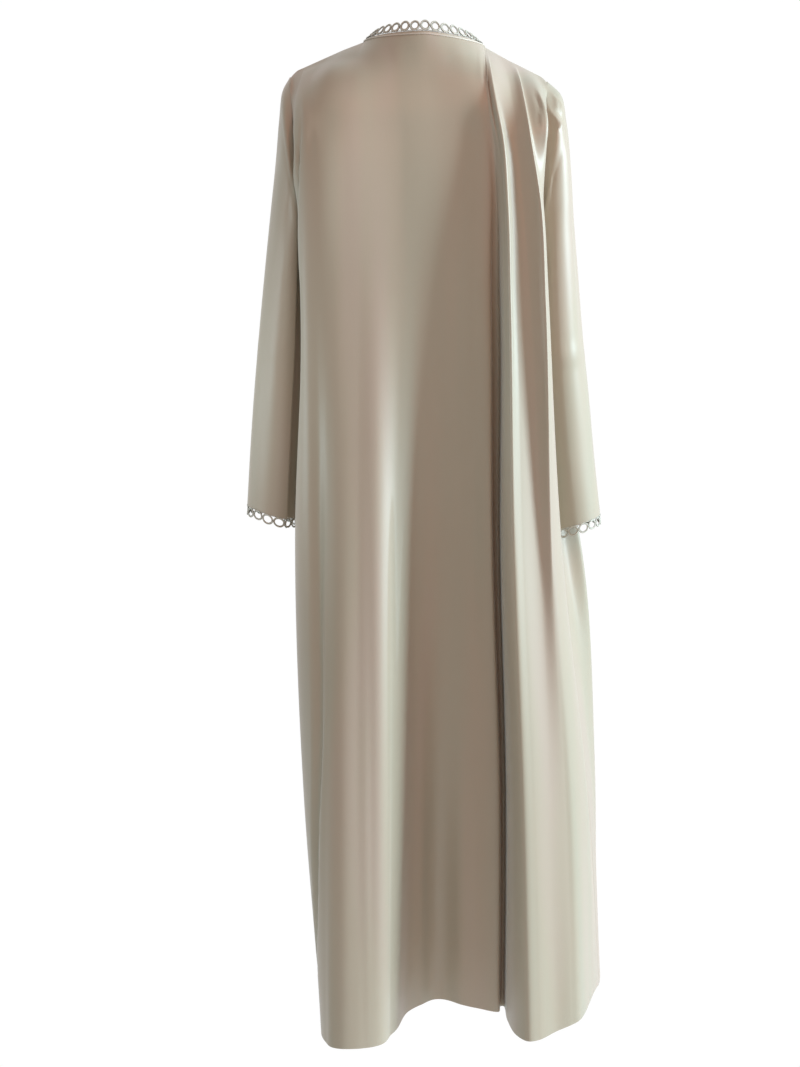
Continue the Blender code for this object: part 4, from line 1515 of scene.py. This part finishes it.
@dataclass
class RingTrim:
    """A row of corded rings that stand side by side on an edge, tied to it with thread.

    Each ring is two cords, one inside the other. A wound tie joins it to the next, a
    header cord runs along the cloth, and threads hold each ring's foot to the header.
    """

    name: str
    node: str
    edge: EdgeFrames
    count: int
    height: float = 15.0
    base: float = 0.3               # how far the rings' feet stand above the edge
    proud: float = 0.0              # how far the rings stand out from the edge
    cord: float = 0.95              # half the thickness of the outer cord
    inner_cord: float = 0.55        # half the thickness of the inner cord
    header: float = 0.6             # half the thickness of the header cord
    tie: float = 0.36               # half the thickness of the ties' cord
    thread: float = 0.28            # half the thickness of the foot threads
    end_gap: float = 0.15           # from the edge's ends to the first and last ring
    overlap: float = 0.15           # how far a ring reaches past its half of the pitch
    uneven: float = 0.35            # how far the rings' tops differ in height
    tie_pitch: float = 0.8          # distance between the three turns of a tie
    tie_reach: tuple[float, float] = (1.9, 1.25)    # along and out, in outer cords
    foot_place: float = 0.24        # a foot thread's place from the middle, in pitches
    foot: tuple = ((-0.7, 0.2), (0.6, 0.5), (2.2, 0.4))     # up and out at its 3 points
    header_rise: float = 0.45       # the header cord's middle above the rings' feet
    header_proud: float = 0.5
    header_wave: tuple[float, float] = (0.18, 0.15)         # up and out
    header_gap: float = 0.4         # from the edge's ends to the header cord's
    steps: int = 30
    sides: int = 8

    def build(self) -> bpy.types.Object:
        """Make the rings, ties, header and threads as one joined mesh.

        Returns:
            The new piece, which stands for its node.
        """
        bm = bmesh.new()
        cloth_map = bm.loops.layers.uv.new(CLOTH_MAP)
        pitch = (self.edge.length() - 2 * self.end_gap) / self.count
        for index in range(self.count):
            for path, radius in self.ring_cords(index, pitch):
                self.cord_along(bm, cloth_map, path, radius)
        along = np.linspace(self.header_gap, self.edge.length() - self.header_gap,
                            self.count * self.sides)
        up, out = self.header_wave
        header = np.column_stack([
            along, self.base + self.header_rise + up * np.sin(along * 1.1),
            self.proud + self.header_proud + out * np.cos(along * 0.9)])
        self.cord_along(bm, cloth_map, header, self.header)
        flat = np.array([vert.co[:] for vert in bm.verts])
        placed = self.edge.place(flat[:, 0], flat[:, 1], flat[:, 2]) * MM
        for vert, point in zip(bm.verts, placed.tolist()):
            vert.co = point
        bmesh.ops.recalc_face_normals(bm, faces=bm.faces[:])
        return add_piece(self.name, bm, [CordFinish()], [self.node], 60.0)

    def ring_cords(self, index: int, pitch: float) -> Iterator[tuple[np.ndarray, float]]:
        """The cords of one ring and its tie to the ring before, on a flat edge.

        Args:
            index: The ring's number.
            pitch: Distance from ring to ring, in millimetres.

        Yields:
            The middle line of each cord, closed for a ring, and half its thickness. Its X
            is along the edge, its Y up from it and its Z out from it.
        """
        turns = np.linspace(0, math.tau, self.steps + 1)
        middle = self.end_gap + pitch * (index + 0.5)
        centre = self.base + self.height / 2
        uneven = math.sin(index * 2.4) * self.uneven
        for cord, inset in ((self.cord, self.cord),
                            (self.inner_cord, 2 * self.cord + self.inner_cord * 0.7)):
            yield np.column_stack([
                middle + np.cos(turns) * (pitch / 2 - inset + self.overlap),
                centre + np.sin(turns) * (self.height / 2 - inset)
                + uneven * np.maximum(np.sin(turns), 0.0),
                np.full_like(turns, self.proud)]), cord
        (low, behind), (bend, over), (high, before) = self.foot
        for place in (middle - self.foot_place * pitch, middle + self.foot_place * pitch):
            yield np.array([(place, low, self.proud + behind),
                            (place, bend, self.proud + self.cord + over),
                            (place, self.base + high, self.proud + before)]), self.thread
        wound = turns[::3]
        along, out = self.tie_reach
        for rise in (-self.tie_pitch, 0.0, self.tie_pitch) if index else ():
            yield np.column_stack([
                middle - pitch / 2 + np.cos(wound) * (self.cord * along),
                centre + rise + np.sin(wound) * 0.2,
                self.proud + np.sin(wound) * (self.cord * out)]), self.tie

    def cord_along(self, bm: bmesh.types.BMesh, cloth_map: bmesh.types.BMLayerItem,
                   path: np.ndarray, radius: float) -> None:
        """Add a cord along a path, flat on X and Y with Z out of the ring's plane.

        Args:
            bm: The mesh that it is added to.
            cloth_map: The UV layer for its place along the cord and its facing, from which the
                finish paints shade on the cord's sides.
            path: Points of its middle, in millimetres; a ring ends where it starts.
            radius: Half its thickness.
        """
        closed = np.allclose(path[0], path[-1])
        along = np.gradient(path, axis=0)
        if closed:
            along[0] = along[-1] = path[1] - path[-2]
        along = unit(along)
        sideways = unit(np.cross(along, np.array([0.0, 0.0, 1.0])))
        other = np.cross(sideways, along)
        roll = np.linspace(0, math.tau, self.sides, endpoint=False)
        rings = path[:, None] + radius * (np.cos(roll)[None, :, None] * sideways[:, None]
                                          + np.sin(roll)[None, :, None] * other[:, None])
        # the second UV value is 0 at the cord's sides, where the finish paints shade
        add_tube(bm, cloth_map, rings, path_lengths(path) * MM, np.abs(np.sin(roll)), closed)


@dataclass
class NeckBinding:
    """A rolled strip of satin along the neck edge, with a fine piping below it."""

    name: str = "rolled_neck_binding"
    node: str = "neck_binding"
    height: float = 5.0
    thickness: float = 3.0
    lift: float = 0.3               # how far it stands above the cloth's edge
    puff: float = 0.05              # how unevenly it is rolled, as a share
    steps: int = 180
    sides: int = 12
    piping_radius: float = 1.0
    piping_swell: float = 0.08      # how unevenly it is filled, as a share
    piping_rise: float = 0.2        # its middle above the cloth's edge
    piping_proud: float = 0.1       # its middle out from the binding's face
    piping_steps: int = 260
    piping_sides: int = 8
    end_gap: float = 0.2            # the piping stops short of the binding's ends
    merge: float = 0.01 * MM

    def build(self) -> bpy.types.Object:
        """Make the binding as a tube along the neck edge.

        Returns:
            The new piece, which stands for its node.
        """
        edge = neck_edge()
        bm = bmesh.new()
        bmesh.ops.create_grid(bm, x_segments=self.sides, y_segments=self.steps, size=1.0)
        number = number_verts(bm)
        cloth_map = bm.loops.layers.uv.new(CLOTH_MAP)
        along = np.repeat(np.linspace(0, edge.length(), self.steps + 1), self.sides + 1)
        turn = np.tile(np.linspace(0, math.tau, self.sides + 1), self.steps + 1)
        puff = 1 + self.puff * np.sin(along * 0.9) * np.sin(along * 0.31 + 1.0)
        rise = self.lift + self.height / 2 + np.sin(turn) * self.height / 2 * puff
        placed = (edge.place(along, rise, np.cos(turn) * self.thickness / 2 * puff)
                  * MM).tolist()
        for vert in bm.verts:
            vert.co = placed[vert[number]]
        for face in bm.faces:
            for loop in face.loops:
                index = loop.vert[number]
                loop[cloth_map].uv = (along[index] * MM, turn[index] * self.height / 2 * MM)
        bmesh.ops.remove_doubles(bm, verts=bm.verts[:], dist=self.merge)
        ends = [rim for rim in bm.edges if rim.is_boundary]
        bmesh.ops.holes_fill(bm, edges=ends, sides=0)
        bmesh.ops.recalc_face_normals(bm, faces=bm.faces[:])
        self.piping(bm, cloth_map, edge)
        return add_piece(self.name, bm, [BINDING_SATIN, PIPING_SATIN],
                         [self.node])

    def piping(self, bm: bmesh.types.BMesh, cloth_map: bmesh.types.BMLayerItem,
               edge: EdgeFrames) -> None:
        """Add the fine piping that shows as a pale line below the binding.

        Args:
            bm: The binding's mesh.
            cloth_map: Its UV layer.
            edge: The neck edge.
        """
        places = np.linspace(self.end_gap, edge.length() - self.end_gap,
                             self.piping_steps + 1)
        turns = np.linspace(0, math.tau, self.piping_sides, endpoint=False)
        along = np.repeat(places, self.piping_sides)
        turn = np.tile(turns, self.piping_steps + 1)
        swell = self.piping_radius * (1 + self.piping_swell * np.sin(along * 1.7))
        out = np.cos(turn) * swell + self.thickness / 2 + self.piping_proud
        rings = edge.place(along, np.sin(turn) * swell + self.piping_rise, out) * MM
        add_tube(bm, cloth_map, rings.reshape(-1, self.piping_sides, 3), places * MM,
                 turns * MM, material=1)


# ---------------------------------------------------------------- studio

@dataclass(frozen=True)
class Lamp:
    """A soft lamp, which is a rectangle or, where it has a cone, a spot."""

    name: str
    place: tuple[float, float, float]
    target: tuple[float, float, float]
    watts: float
    colour: tuple[float, float, float]
    size: tuple[float, float] = (0.5, 0.5)      # sides of the rectangle, in metres
    cone: float = 0.0                           # full angle of the spot, in degrees
    radius: float = 0.25                        # radius of the spot's source

    def build(self) -> bpy.types.Object:
        """Make the lamp and aim it at its target.

        Returns:
            The new light object.
        """
        data = bpy.data.lights.new(self.name, "SPOT" if self.cone else "AREA")
        if self.cone:
            data.spot_size, data.spot_blend = math.radians(self.cone), 1.0
            data.shadow_soft_size = self.radius
        else:
            data.shape = "RECTANGLE"
            data.size, data.size_y = self.size
        data.energy, data.color = self.watts, self.colour
        made = add_object(self.name, data)
        made.location = self.place
        made.rotation_mode = "QUATERNION"
        aim = Vector(self.target) - Vector(self.place)
        made.rotation_quaternion = aim.to_track_quat("-Z", "Y")
        return made


LAMPS = (
    Lamp("key", (3.45, -0.76, 0.5), (0.0, 0.0, -0.6), 232.0, (0.70, 0.91, 1.0), (0.8, 2.2)),
    Lamp("fill", (0.8, -3.6, 1.8), (0.0, 0.0, -0.5), 39.0, (1.0, 0.22, 0.05), (2.0, 2.0)),
    Lamp("left", (-1.2, -0.16, -0.46), (-0.36, 0.0, -0.47), 31.0, (0.80, 0.94, 1.0),
         cone=30.0),
)


@dataclass
class Studio:
    """Floor, soft lights and the camera, in metres."""

    floor_z: float = -1.90
    floor_y: float = -0.4
    floor_radius: float = 1.3
    air_front: tuple[float, float, float] = (0.464, 0.522, 0.508)
    air_back: tuple[float, float, float] = (0.90, 0.90, 0.90)
    air_turn: tuple[float, float] = (-0.1, 0.7)     # where the air turns from front to back
    seen_air: float = 1.12          # strength of the air as the backdrop
    camera_place: tuple[float, float, float] = (-0.034, -2.75, -0.35)
    camera_pitch: float = 6.9
    focal_pixels: float = 1923.0
    frame_long_side: float = 1067.0
    sensor: float = 36.0

    def camera(self) -> None:
        """Make the camera, which looks a little down on the cloak's back."""
        data = bpy.data.cameras.new("camera")
        data.sensor_width = self.sensor
        data.lens = self.focal_pixels / self.frame_long_side * self.sensor
        data.clip_end = 50.0
        made = add_object("camera", data)
        made.location = self.camera_place
        made.rotation_euler = (math.radians(90 - self.camera_pitch), 0, 0)
        bpy.context.scene.camera = made

    def floor(self) -> None:
        """Make a pale round floor, some way under the cloak as under its wearer."""
        bm = bmesh.new()
        bmesh.ops.create_circle(bm, cap_ends=True, segments=96, radius=self.floor_radius)
        bmesh.ops.translate(bm, verts=bm.verts[:], vec=(0, self.floor_y, self.floor_z))
        mesh = bpy.data.meshes.new("floor")
        bm.to_mesh(mesh)
        bm.free()
        mesh.materials.append(FLOOR_PAINT.material())
        add_object("floor", mesh)

    def air(self) -> None:
        """Make the light from all round: white behind the cloak, dim at the camera."""
        world = bpy.data.worlds.new("studio_air")
        world.use_nodes = True
        graph = NodeGraph(world.node_tree, world.node_tree.nodes["Background"])
        forward = graph.add("SeparateXYZ", "Y", {"Vector": graph.add("TexCoord", "Generated")})
        turned = graph.map_range(forward, self.air_turn, (0.0, 1.0))
        seen = graph.add("LightPath", "Is Camera Ray")
        graph.fill(graph.shader, {
            "Color": graph.ramp(turned, [(0.0, self.air_front), (1.0, self.air_back)]),
            "Strength": graph.map_range(seen, (0.0, 1.0), (1.0, self.seen_air)),
        })
        bpy.context.scene.world = world

    def build(self) -> None:
        """Make the whole studio."""
        bpy.context.scene.view_settings.view_transform = "Standard"
        self.air()
        self.floor()
        self.camera()
        for lamp in LAMPS:
            lamp.build()


# ---------------------------------------------------------------- the cloak

@dataclass(frozen=True)
class Cut:
    """The flat size of a piece as it was cut, in metres, and what it hangs from."""

    width: float
    length: float
    area: float
    hangs_from: tuple[str, ...] = ()

    def declare(self, piece: bpy.types.Object,
                with_pieces: Sequence[bpy.types.Object] = ()) -> None:
        """Declare a piece as a hung sheet of this cut.

        Args:
            piece: The cloth; not used.
            with_pieces: Separate pieces that are sewn to it; not used.
        """


CUTS = {
    "back": Cut(1.02, 1.44, 1.03),
    "front_right": Cut(0.37, 1.43, 0.405, ("satin_back",)),
    "front_left": Cut(0.28, 1.43, 0.330, ("satin_back",)),
    "sleeve_right": Cut(0.32, 0.63, 0.156, ("satin_back", "satin_front_right")),
    "sleeve_left": Cut(0.31, 0.62, 0.148, ("satin_back", "satin_front_left")),
}
SLEEVE_FULLNESS = {Side.LEFT: 0.75, Side.RIGHT: 1.15}
CUFF_RINGS = 8                      # rings on each half of a cuff
NECK_RINGS = 35
NECK_RING_HEIGHT = 15.4
BINDING_RISE = 4.6                  # the neck's rings stand on the binding


def side_pieces(side: Side) -> None:
    """Make a front and a sleeve with their stitches and trims.

    Args:
        side: The wearer's side that they are on.
    """
    word = side.name.lower()
    front = BodyPanel(name=f"satin_front_{word}", node=f"front_{word}", back=1,
                      lines=FRONT_LINES[side], creases=FRONT_CREASES[side],
                      puckers=FRONT_PUCKERS[side], free_edge=True)
    cloth = front.build()
    stitches = PrickStitches(f"hem_stitches_front_{word}").build(front.stitch_paths())
    CUTS[front.node].declare(cloth, [stitches])
    sleeve = Sleeve(name=f"satin_sleeve_{word}", node=f"sleeve_{word}", side=side,
                    creases=SLEEVE_CREASES[side], puckers=SLEEVE_PUCKERS[side],
                    fullness=SLEEVE_FULLNESS[side])
    cloth = sleeve.build()
    trims = [RingTrim(f"cuff_rings_{word}_{half}", f"cuff_trim_{word}_{half}",
                      sleeve.cuff_edge(half == "back"), CUFF_RINGS).build()
             for half in ("back", "front")]
    stitches = PrickStitches(f"cuff_stitches_{word}").build(sleeve.stitch_paths())
    CUTS[sleeve.node].declare(cloth, [stitches, *trims])


def cloak_pieces() -> None:
    """Make every piece of the cloak, in the order in which it is sewn."""
    back = BodyPanel(name="satin_back", node="back", back=-1, lines=BACK_LINES,
                     creases=BACK_CREASES, puckers=BACK_PUCKERS)
    cloth = back.build()
    stitches = PrickStitches("hem_stitches_back").build(back.stitch_paths())
    for side in Side:
        side_pieces(side)
    binding = NeckBinding().build()
    rings = RingTrim("neck_rings", "neck_trim", neck_edge().raised(BINDING_RISE), NECK_RINGS,
                     NECK_RING_HEIGHT, proud=1.6, cord=1.15, inner_cord=0.62).build()
    CUTS[back.node].declare(cloth, [stitches, binding, rings])


def main() -> None:
    """Load the frame, dress the cloak and light it."""
    logging.basicConfig(level=logging.INFO, format="%(name)s: %(message)s")
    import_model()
    cloak_pieces()
    Studio().build()


if __name__ == "__main__":
    main()
